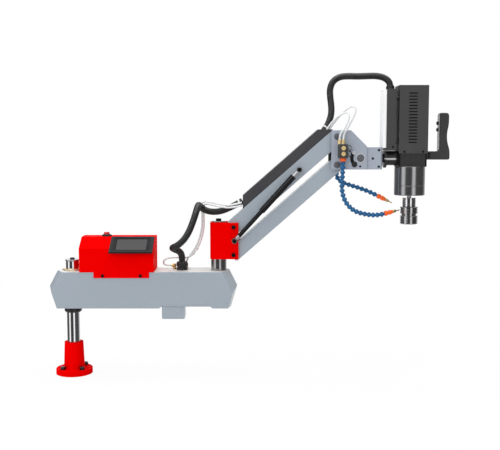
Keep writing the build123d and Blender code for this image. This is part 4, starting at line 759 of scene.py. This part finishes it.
# coolant hoses: one ball-and-socket link, set along the route again and again
coolantSet = {
    "pitch": 0.0148, "step": 0.0005,
    "link": [(0.0046, -0.0012), (0.0056, 0.0002), (0.0066, 0.0016), (0.0082, 0.0024), (0.0084, 0.0046),
             (0.0078, 0.0072), (0.0066, 0.0092), (0.0051, 0.0106), (0.0047, 0.0122), (0.005, 0.0142)],
    "front": [(0.877, -0.058, 0.7), (0.877, -0.058, 0.676), (0.875, -0.062, 0.645), (0.873, -0.066, 0.618),
              (0.877, -0.068, 0.591), (0.887, -0.066, 0.569), (0.904, -0.062, 0.55), (0.925, -0.056, 0.538),
              (0.949, -0.05, 0.532), (0.974, -0.044, 0.528), (0.997, -0.039, 0.528), (1.015, -0.034, 0.532)],
    "rear": [(0.877, 0.056, 0.707), (0.877, 0.056, 0.688), (0.869, 0.057, 0.667), (0.868, 0.059, 0.646),
             (0.883, 0.059, 0.63), (0.906, 0.056, 0.622), (0.93, 0.052, 0.615), (0.954, 0.047, 0.607),
             (0.978, 0.042, 0.598), (1.002, 0.037, 0.586)],
    "body": [(0.0052, -0.001), (0.0074, 0.0005), (0.0082, 0.003), (0.0082, 0.007), (0.0074, 0.01),
             (0.006, 0.0118), (0.006, 0.0132), (0.0074, 0.015), (0.0078, 0.0185), (0.0072, 0.0225),
             (0.0058, 0.0265), (0.0046, 0.03)],
    "tip": [(0.004, 0.029), (0.0052, 0.03), (0.0054, 0.033), (0.0048, 0.0345), (0.0046, 0.038),
            (0.0032, 0.0415), (0.0019, 0.043), (0.0017, 0.0538), (0.0013, 0.054)],
    "nut": [(0.0078, 0.0), (0.0088, 0.0008), (0.0092, 0.003), (0.0086, 0.0038), (0.0092, 0.0046),
            (0.0092, 0.0074), (0.0086, 0.0082), (0.0092, 0.009), (0.0086, 0.011)],
    "masters": {"link": (20, 60), "body": (28, 50), "tip": (24, 40), "nut": (28, 40)},  # sides, smoothing angle
}
masters = {part: turned(part + "Master", coolantSet[part], sides, smooth=smooth)
           for part, (sides, smooth) in coolantSet["masters"].items()}
nutPieces, tipPieces = [], []
for side in ("front", "rear"):
    route = [Vector(spot) for spot in coolantSet[side]]
    line = evenly(routeOf(side + "Route", route), coolantSet["step"])
    linkCount = round(lengthOf(line) / coolantSet["pitch"])
    joints = [line[round((len(line) - 1) * count / linkCount)] for count in range(linkCount + 1)]
    links = [aimed(copied(masters["link"], "link" + side + str(count)), here, there - here)
             for count, (here, there) in enumerate(zip(joints, joints[1:]))]
    dress(joined("coolantHose" + side.capitalize(), links), "bluePlastic", "head_carrier", "blue_plastic",
          "coolant_hose_" + side)
    way = route[-1] - route[-2]
    nutPieces.append(aimed(copied(masters["body"], "nozzleBody" + side), route[-1], way))
    tipPieces.append(aimed(copied(masters["tip"], "nozzleTip" + side), route[-1], way))
    nutPieces.append(moved(copied(masters["nut"], "nut" + side), route[0]))
dress(joined("hoseNutsShaped", nutPieces), "orangePlastic", "head_carrier", "orange_plastic", "hose_nuts")
dress(joined("nozzleTipsShaped", tipPieces), "brass", "head_carrier", "brass", "coolant_nozzles")
removed(*masters.values())
print("coolant hoses linked")

# spindle, chuck body and chuck sleeve, turned with their grooves
chuckSet = {
    "shaft": [(0.0205, 0.553), (0.022, 0.554), (0.022, 0.559), (0.0212, 0.5596), (0.0212, 0.5606),
              (0.022, 0.5612), (0.022, 0.5752), (0.0212, 0.5758), (0.0212, 0.5768), (0.022, 0.5774),
              (0.022, 0.5808), (0.0208, 0.582), (0.008, 0.582)],
    "thread": (5, 0.5822, 0.0016, 0.007, 0.0062), "neck": [(0.0068, 0.5904), (0.0119, 0.5906), (0.0119, 0.62)],
    "body": [(0.0155, 0.536), (0.0155, 0.497), (0.0165, 0.496), (0.02315, 0.496), (0.02395, 0.4968),
             (0.02395, 0.5302), (0.0282, 0.5302), (0.029, 0.531)],
    "bodyTop": [(0.029, 0.5512), (0.0274, 0.553)], "bodyGrooves": (0.5352, 0.5406, 0.546),
    "sleeve": [(0.02405, 0.524), (0.02405, 0.4965), (0.02455, 0.496), (0.0262, 0.496), (0.029, 0.4986)],
    "sleeveTop": [(0.029, 0.523), (0.028, 0.524), (0.02405, 0.524)],
    "sleeveGrooves": (0.503, 0.5084, 0.5138, 0.5192), "groove": (0.029, 0.0268, 0.001, 0.0004),
}


def grooved(heights):  # ring grooves, each as four points of a profile
    outer, inner, half, edge = chuckSet["groove"]
    return [spot for height in heights for spot in (
        (outer, height - half - edge), (inner, height - half), (inner, height + half), (outer, height + half + edge))]


def spindlePart(name, profile, *rest, bored=False):
    dress(moved(turned(name, profile, sides=64, bored=bored), (spindleX, 0, 0)), *rest)


turns, low, pitch, crest, root = chuckSet["thread"]
threads = []
for count in range(turns):
    threads += [(crest, low + pitch * count), (root, low + pitch * (count + 0.5))]
spindlePart("spindleShaftTurned", chuckSet["shaft"] + threads + chuckSet["neck"], "chrome", "spindle", "chrome",
            "spindle_shaft")
spindlePart("chuckBodyTurned", chuckSet["body"] + grooved(chuckSet["bodyGrooves"]) + chuckSet["bodyTop"],
            "chuckSteel", "spindle", "dark_steel", "chuck_body")
spindlePart("chuckSleeveTurned", chuckSet["sleeve"] + grooved(chuckSet["sleeveGrooves"]) + chuckSet["sleeveTop"],
            "chuckSteel", "sleeve", "dark_steel", "chuck_sleeve", bored=True)
print("spindle and chuck turned")

# roll journal: the black journal cut along its middle, where a chrome core shows as a painted highlight band
journalSet = {
    "shells": [(0.0228, 0.0), (0.02325, 0.0006), (0.02325, 0.0334), (0.0228, 0.034)], "shellsAt": 0.1617,
    "root": [(0.0139, 0.0), (0.0139, 0.048)], "rootAt": 0.1057,
    "core": [(0.0198, 0.0002), (0.0205, 0.0008), (0.0205, 0.0414), (0.0198, 0.0418)], "coreAt": 0.1538,
    "disc": 0.0315, "discFlat": 0.0234, "discThick": 0.008, "discAt": 0.1537,
    "glintCut": (0.174, -0.026, 0.0034), "glintCutSize": (0.06, 0.022, 0.0076),
}


def onJournal(piece, along):
    return aimed(piece, (headX + along, 0, journalZ), toRight)


shells = onJournal(turned("cutJournalShells", journalSet["shells"], sides=64), journalSet["shellsAt"])
discOutline = [(x, min(journalSet["discFlat"], y)) for x, y in arc(journalSet["disc"], 0, 360, 72)[:-1]]
disc = onJournal(plate("journalDisc", discOutline, journalSet["discThick"]), journalSet["discAt"])
along, side, drop = journalSet["glintCut"]
# the cut shows the bright core: a painted highlight along the black journal
cutBy((headX + along, side, journalZ - drop), journalSet["glintCutSize"], shells, disc)
root = onJournal(turned("journalRoot", journalSet["root"], sides=40), journalSet["rootAt"])
dress(joined("rollJournalShells", [soften(shells, 0.0004, 1), soften(disc, 0.0006), root]), "collarBlack",
      "motor_head", "black_gloss", "roll_journal")
dress(onJournal(turned("rollGlintCore", journalSet["core"], sides=64), journalSet["coreAt"]), "chrome", "motor_head",
      "chrome")
print("roll journal shaped")

# operating panel: a stepped dark frame round a black border and the screen
panelSet = {
    "middle": (0.2015, -0.031, 0.438), "way": (0, -0.5241, 0.8517), "up": (0, 0.8517, 0.5241), "shift": 0.015,
    "frame": [(0.14, 0.084, 0.0002), (0.14, 0.084, 0.003), (0.1384, 0.0824, 0.0048), (0.1374, 0.0814, 0.005),
              (0.1228, 0.071, 0.005), (0.122, 0.0702, 0.0042), (0.1204, 0.0686, 0.0042), (0.1196, 0.0678, 0.0049),
              (0.115, 0.065, 0.0049), (0.114, 0.0644, 0.0036), (0.0978, 0.0558, 0.0036), (0.0972, 0.0552, 0.003)],
    "screen": [(0.097, 0.055, 0.003), (0.097, 0.055, 0.0034), (0.0962, 0.0542, 0.0037)],
    "border": (0.0026, 0.004, 0.0575),
}
panelSpot = Vector(panelSet["middle"]) - Vector(panelSet["up"]) * panelSet["shift"]
panelFrame = stepped("hmiFrame", panelSet["frame"])
panelFrame.data.materials.append(finish["bezelPlastic"])
lowest, highest, widest = panelSet["border"]
paintFaces(panelFrame, "screwBlack", lambda face: lowest < face.center.z < highest and abs(face.center.x) < widest)
panelFrame = soften(aimed(panelFrame, panelSpot, panelSet["way"]), 0.0003)
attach(panelFrame, "beam")
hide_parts("hmi_bezel")
panelScreen = aimed(stepped("hmiGlass", panelSet["screen"]), panelSpot, panelSet["way"])
dress(soften(panelScreen, 0.0002), "screenGlass", "beam", "screen", "hmi_screen")

# start button's ring nut on the control box
buttonSet = {"centre": (0.112, 0.014, 0), "foot": (14, 0.0165, 0.015), "footLow": 0.4541, "footHigh": 0.0042,
             "collar": [(0.0096, 0.4541), (0.0096, 0.4606), (0.0118, 0.461), (0.0128, 0.46), (0.013, 0.4541),
                        (0.0096, 0.4541)]}
foot = plate("buttonFoot", notched(*buttonSet["foot"]), buttonSet["footHigh"])
foot = soften(moved(foot, (0, 0, buttonSet["footLow"])), 0.0004, 1)
ring = joined("startButtonRing", [foot, turned("buttonCollar", buttonSet["collar"], bored=True)])
dress(moved(ring, buttonSet["centre"]), "blackPlastic", "beam", "black_plastic")

# cable gland: hexagon foot, neck, ribbed dome nut
glandSet = {
    "centre": (0.36, 0, 0), "foot": [(0.019, 0.3451), (0.02, 0.3458), (0.02, 0.3535), (0.0188, 0.3545)],
    "neck": [(0.015, 0.354), (0.015, 0.3575)],
    "ribs": (15, 0.019, 0.0176), "ribsFrom": 0.357, "ribsHigh": 0.0115,
    "dome": [(0.0176, 0.368), (0.0172, 0.3702), (0.0156, 0.3718), (0.013, 0.3728), (0.0117, 0.373)],
}
ribs = moved(plate("glandRibs", notched(*glandSet["ribs"]), glandSet["ribsHigh"]), (0, 0, glandSet["ribsFrom"]))
gland = joined("cableGlandShaped", [
    soften(turned("glandFoot", glandSet["foot"], sides=6, smooth=20), 0.0005),
    turned("glandNeck", glandSet["neck"]), soften(ribs, 0.0005, 1), turned("glandDome", glandSet["dome"])])
dress(moved(gland, glandSet["centre"]), "blackPlastic", "beam", "black_plastic", "cable_gland")

# brass air fittings: hexagon foot, body, and a collet ring round the tube
fittingSet = {
    "hex": [(0.0064, 0.0), (0.007, 0.0004), (0.007, 0.005), (0.0064, 0.0054)],
    "body": [(0.0052, 0.0052), (0.0052, 0.0098), (0.006, 0.0102), (0.006, 0.0128), (0.0052, 0.0132),
             (0.005, 0.015), (0.0036, 0.015), (0.0034, 0.0144)],
    "riser": [(0.0054, 0.0052), (0.0054, 0.015), (0.0048, 0.0178), (0.003, 0.0188)],
    "nose": [(0.0048, -0.001), (0.0048, 0.005), (0.0058, 0.0054), (0.0058, 0.0084), (0.005, 0.0088),
             (0.0048, 0.011), (0.0036, 0.011), (0.0034, 0.0104)],
    "low": (0.334, 0.014, 0.345), "high": (0.372, 0.03, 0.345), "noseFrom": (0, 0, 0.0125),
}
hexFoot = turned("fittingHex", fittingSet["hex"], sides=6, smooth=20)
nose = aimed(turned("fittingNose", fittingSet["nose"], 32), fittingSet["noseFrom"], toLeft)
lowFitting = joined("fittingOne", [copied(hexFoot, "hexOne"), turned("fittingRiser", fittingSet["riser"], 32), nose])
highFitting = joined("fittingTwo", [hexFoot, turned("fittingBody", fittingSet["body"], 32)])
fittings = [moved(lowFitting, fittingSet["low"]), moved(highFitting, fittingSet["high"])]
dress(joined("airFittingsShaped", fittings), "brass", "beam", "brass", "air_fittings")
print("panel, button ring, gland and fittings shaped")

# coolant valves: brass caps on the front, two collet fittings on top, wire loops on the levers
valveSet = {
    "cap": [(0.0064, 0.0), (0.007, 0.0006), (0.007, 0.0036), (0.0062, 0.005), (0.0038, 0.005), (0.0034, 0.004)],
    "collet": [(0.005, 0.0066), (0.005, 0.0092), (0.0044, 0.0096), (0.0044, 0.0108), (0.0054, 0.0112),
               (0.0054, 0.0134), (0.0044, 0.014), (0.0034, 0.014), (0.0033, 0.0134)],
    "hex": [(0.0054, -0.0005), (0.0058, 0.0002), (0.0058, 0.0064), (0.0052, 0.0068)],
    "hub": [(0.0029, -0.008), (0.003, 0.0004), (0.0046, 0.0006), (0.005, 0.0012), (0.005, 0.0034),
            (0.0042, 0.004)],
    "caps": (0.0349, 0.0529), "capY": -0.072, "stubs": (-0.011, 0.001), "stubAt": (-0.058, 0.0659),
    "pipe": [(0.0049, 0.0), (0.0049, 0.084)], "pipeAt": (0.042, 0.0439), "leverAt": (0.032, -0.057),
    "loop": (0.0058, 0.001), "loopStretch": (0.72, 1.45, 1.0), "loopShift": (0.0062, -0.003),
}
brassPieces = [aimed(turned("valveCap", valveSet["cap"], 40), (valveX, valveSet["capY"], headZ + high), toFront)
               for high in valveSet["caps"]]
stubY, stubHigh = valveSet["stubAt"]
for shift in valveSet["stubs"]:
    stub = joined("valveStub", [turned("stubHex", valveSet["hex"], 6, smooth=20),
                                turned("stubCollet", valveSet["collet"], 32)])
    brassPieces.append(moved(stub, (valveX + shift, stubY, headZ + stubHigh)))
pipeY, pipeHigh = valveSet["pipeAt"]
brassPieces.append(aimed(turned("crossPipe", valveSet["pipe"], 24), (valveX, pipeY, headZ + pipeHigh), toFront))
dress(joined("valveFittingsShaped", brassPieces), "capBrass", "head_carrier", "brass", "valve_fittings")
leverX, leverY = headX + valveSet["leverAt"][0], valveSet["leverAt"][1]
for level, high in zip(("lower", "upper"), valveSet["caps"]):
    hub = aimed(turned("hub", valveSet["hub"], 32), (leverX, leverY, headZ + high), toRight)
    settle()
    bpy.ops.mesh.primitive_torus_add(major_radius=valveSet["loop"][0], minor_radius=valveSet["loop"][1],
                                     major_segments=40, minor_segments=12, location=(0, 0, 0))
    loop = bpy.context.object
    bpy.ops.object.mode_set(mode="EDIT")
    bpy.ops.transform.resize(value=valveSet["loopStretch"], center_override=(0, 0, 0))
    bpy.ops.object.mode_set(mode="OBJECT")
    bpy.ops.object.shade_smooth()
    right, ahead = valveSet["loopShift"]
    aimed(loop, (leverX + right, leverY + ahead, headZ + high), toFront)
    dress(hub, "steel", "lever_" + level, "steel", "valve_lever_" + level, name="leverHub" + level.capitalize())
    dress(loop, "blackPlastic", "lever_" + level, "black_plastic", name="leverLoop" + level.capitalize())

# head bracket: lit rim round the tilt pin, pivot caps, a dark sheet behind the tilt slot as painted shade, clamp knob
bracketSet = {
    "rim": [(0.0124, 0.0), (0.0124, 0.0009), (0.0132, 0.0014), (0.0144, 0.0014), (0.015, 0.0008), (0.015, 0.0)],
    "tiltCap": [(0.0123, 0.0), (0.0123, 0.0006), (0.0116, 0.001), (0.004, 0.001), (0.0036, 0.0002)],
    "pivotCap": [(0.0106, 0.0), (0.0106, 0.001), (0.0098, 0.0016), (0.0036, 0.0016), (0.0033, 0.0006)],
    "knob": [(0.0056, 0.0), (0.006, 0.0004), (0.006, 0.0034), (0.0052, 0.0042), (0.0026, 0.0042), (0.0024, 0.0034)],
    "plug": [(0.0034, 0.0), (0.0034, 0.005), (0.003, 0.0054), (0.0016, 0.0054), (0.0015, 0.0046)],
    "shadeSheet": (0.02, 0.036, 118, 250), "shadeSheetAt": -0.0357, "shadeSheetThick": 0.0002, "face": 0.042, "tilt": (0.0747, 0.0214),
    "pivots": (0, 0.09), "slot": (0.028, 142), "knobAt": -0.0424, "plugAt": (0.0737, -0.0365, -0.0051),
}
tiltX, tiltZ = headX + bracketSet["tilt"][0], headZ + bracketSet["tilt"][1]
for sideName, way in (("Front", toFront), ("Rear", toRear)):
    faceY = way[1] * bracketSet["face"]
    rim = turned("tiltRim" + sideName, bracketSet["rim"] + [bracketSet["rim"][0]], 64, bored=True)
    dress(aimed(rim, (tiltX, faceY, tiltZ), way), "plateGrey", "head_carrier", "steel")
    caps = [aimed(turned("tiltCap", bracketSet["tiltCap"], 64), (tiltX, faceY, tiltZ), way)]
    for high in bracketSet["pivots"]:
        caps.append(aimed(turned("pivotCap", bracketSet["pivotCap"]), (headX, faceY, headZ + high), way))
    dress(joined("pivotCaps" + sideName, caps), "pinGrey", "head_carrier", "dark_steel")
inner, outer, fromTurn, toTurn = bracketSet["shadeSheet"]
shadeSheetOutline = arc(outer, fromTurn, toTurn, 24) + arc(inner, toTurn, fromTurn, 24)
# a thin dark sheet at the slot's floor: painted shade in the slot
shadeSheet = aimed(plate("slotShadeSheet", shadeSheetOutline, bracketSet["shadeSheetThick"]), (tiltX, bracketSet["shadeSheetAt"], tiltZ), toFront)
dress(shadeSheet, "rubber", "tilt_knuckle", "rubber")
slotRadius, knobTurn = bracketSet["slot"][0], math.radians(bracketSet["slot"][1])
knob = aimed(turned("clampKnob", bracketSet["knob"], 40),
             (tiltX + slotRadius * math.cos(knobTurn), bracketSet["knobAt"], tiltZ + slotRadius * math.sin(knobTurn)),
             toFront)
dress(knob, "plateGrey", "tilt_knuckle", "aluminium")
right, ahead, high = bracketSet["plugAt"]
plug = aimed(turned("indexPlug", bracketSet["plug"], 32), (headX + right, ahead, headZ + high), toFront)
dress(plug, "screwBlack", "head_carrier", "dark_steel")
print("valves and bracket dressed")

# motor head: black mesh behind the vents, cover screws, and the handle's pale plate and ribbed buttons
motorSet = {
    "liner": [(0.034, 0.18, 0.0), (0.034, 0.18, 0.0004), (0.0336, 0.1796, 0.0006)],
    "screw": [(0.003, 0.0), (0.0034, 0.0003), (0.0032, 0.0012), (0.0022, 0.0018), (0.0012, 0.0018), (0.0011, 0.001)],
    "screwSpots": ((1.074, -0.045, 0.731), (1.133, -0.045, 0.731), (1.074, 0.045, 0.731), (1.133, 0.045, 0.731),
                   (1.0385, -0.04, 0.746), (1.159307, -0.014, 0.723562), (1.159307, -0.014, 0.715062)),
    "gripPlate": [(0.025, 0.113, 0.0), (0.025, 0.113, 0.0008), (0.0238, 0.1118, 0.0014)],
    "button": [(0.0112, 0.0112, -0.004), (0.0112, 0.0112, 0.0036), (0.0094, 0.0094, 0.004), (0.0094, 0.0094, 0.0046),
               (0.0112, 0.0112, 0.005), (0.0112, 0.0112, 0.0058), (0.0094, 0.0094, 0.0062),
               (0.0088, 0.0088, 0.007)],
    "linerAt": (0.0424, 0.1489), "buttonHeights": {"upper": 0.1329, "lower": 0.1119}, "grip": (0.3307, 0.104),
}
linerY, linerHigh = motorSet["linerAt"]
for sideName, way in (("Front", toFront), ("Rear", toRear)):
    liner = stepped("ventMesh" + sideName, motorSet["liner"])
    dress(aimed(liner, (spindleX, way[1] * linerY, headZ + linerHigh), way), "screwBlack", "motor_head", "dark_paint")
screws = [aimed(turned("coverScrew", motorSet["screw"], 28), spot, toFront if spot[1] < 0 else toRear)
          for spot in motorSet["screwSpots"]]
dress(joined("coverScrews", screws), "screwBlack", "motor_head", "dark_steel")
gripX, gripZ = headX + motorSet["grip"][0], headZ + motorSet["grip"][1]

# handle: a moulded grip with a waist, drawn from its side and rounded all round
handleSet = {
    "arm": [(0.279, 0.0159), (0.36, 0.0159), (0.3634, 0.0168), (0.3652, 0.019), (0.3657, 0.023)],
    "back": [(0.3654, 0.04), (0.364, 0.05), (0.3605, 0.062), (0.3575, 0.074), (0.3562, 0.086),
             (0.3562, 0.098), (0.3576, 0.11), (0.3602, 0.122), (0.3614, 0.134), (0.3617, 0.148)],
    "top": [(0.3615, 0.157), (0.3602, 0.1622), (0.357, 0.165), (0.352, 0.1659), (0.337, 0.1659),
            (0.3328, 0.1648), (0.331, 0.162), (0.3307, 0.158)],
    "inside": [(0.3307, 0.049), (0.33, 0.0455), (0.3275, 0.0434), (0.324, 0.0429), (0.279, 0.0429)],
    "halfWidth": 0.014, "round": 0.0042, "well": (0.016, 0.0122, 0.0122), "wellDeep": 0.0085,
}
outline = handleSet["arm"] + handleSet["back"] + handleSet["top"] + handleSet["inside"]
grip = aimed(plate("gripBody", outline, 2 * handleSet["halfWidth"]), (headX, handleSet["halfWidth"], headZ), toFront)
grip = soften(grip, handleSet["round"], 4, 40)
gripPlate = soften(aimed(stepped("gripPlate", motorSet["gripPlate"]), (gripX, 0, gripZ), toLeft), 0.0005)
wellX = gripX + handleSet["wellDeep"] - handleSet["well"][0] / 2
for high in motorSet["buttonHeights"].values():
    cutBy((wellX, 0, headZ + high), handleSet["well"], grip, gripPlate)
dress(grip, "gripPlastic", "motor_head", slotOf["handle"], "handle", name="handleGrip")
dress(gripPlate, "plateGrey", "motor_head", "light_paint")
for level, high in motorSet["buttonHeights"].items():
    push = aimed(stepped("gripButton" + level.capitalize(), motorSet["button"]), (gripX, 0, headZ + high), toLeft)
    dress(soften(push, 0.0003, 1), "blackPlastic", "grip_push_" + level, "black_plastic", "grip_button_" + level)
print("motor head dressed")

# painted castings, sheet parts and plain turned parts, each from its own solid
shellSet = {
    "base_flange": ("redPaint", 0.0012, 3), "beam_casting": ("greyPaint", 0.0016, 3),
    "under_block": ("greyPaint", 0.0012, 2), "control_cover": ("redPaint", 0.0014, 3),
    "elbow_block": ("redPaint", 0.0012, 3), "upper_link": ("greyPaint", 0.0014, 3),
    "lower_link": ("greyPaint", 0.0014, 3), "arm_cover": ("charcoalSheet", 0.001, 2),
    "head_bracket": ("lightPaint", 0.001, 2), "knuckle_block": ("lightPaint", 0.0016, 3),
    "motor_cover": ("coverPaint", 0.0006, 2), "controller_box": ("coverPaint", 0.001, 2),
    "gearbox_housing": ("castBlack", 0.001, 2), "side_plates": ("screwBlack", 0.0008, 2),
    "spindle_housing": ("blackGloss", 0.001, 2), "elbow_shaft": ("shaftBlack", 0.0006, 2),
    "support_collar": ("collarBlack", 0.0008, 2), "column_cap": ("steel", 0.0008, 2),
    "column_bushes": ("paleBrass", 0.0008, 2), "elbow_rings": ("blackGloss", 0.0006, 2),
    "gas_cylinder": ("springBlack", 0.001, 3), "link_stop": ("rubber", 0.0008, 2),
    "start_button": ("redPlastic", 0.0006, 2), "coolant_valves": ("coverPaint", 0.0008, 2),
    # heat sink: painted near white, a painted highlight
    "heat_sink": ("sinkPaintedGlare", 0.0003, 1),
}
shellPieces = {}
for label, (look, width, segments) in shellSet.items():
    shellPieces[label] = dress(refined(label, width, segments), look, bodyOf[label], slotOf[label], label)
# the beam's upward faces painted paler, which also paints in the light falling on its top
paintFaces(shellPieces["beam_casting"], "topPaleAndLit", lambda face: face.normal.z > 0.99 and face.center.z > 0.344)
# the motor cover's left-facing faces painted black: painted shade beside the controller
paintFaces(shellPieces["motor_cover"], "screwBlack", lambda face: face.normal.x < -0.9)
print("shells rounded:", len(shellSet))

# solids whose own shape is shown, with the finish that the real one has
plainSet = {
    "base_column": "chrome", "base_screws": "darkSteel", "beam_screws": "screwBlack", "power_supply": "aluminium",
    "elbow_bushes": "brass", "elbow_bolts": "screwBlack", "spring_stud": "screwBlack",
    "gas_rod": "springBlack", "spring_lower_end": "steel", "spring_upper_end": "steel", "bracket_pins": "darkSteel",
    "knuckle_screws": "screwBlack", "servo_motor": "blackPlastic",
}
for label, look in plainSet.items():
    solid = frame["nodes"][label]
    solid.data.materials.clear()
    solid.data.materials.append(finish[look])
print("solids dressed:", len(plainSet))
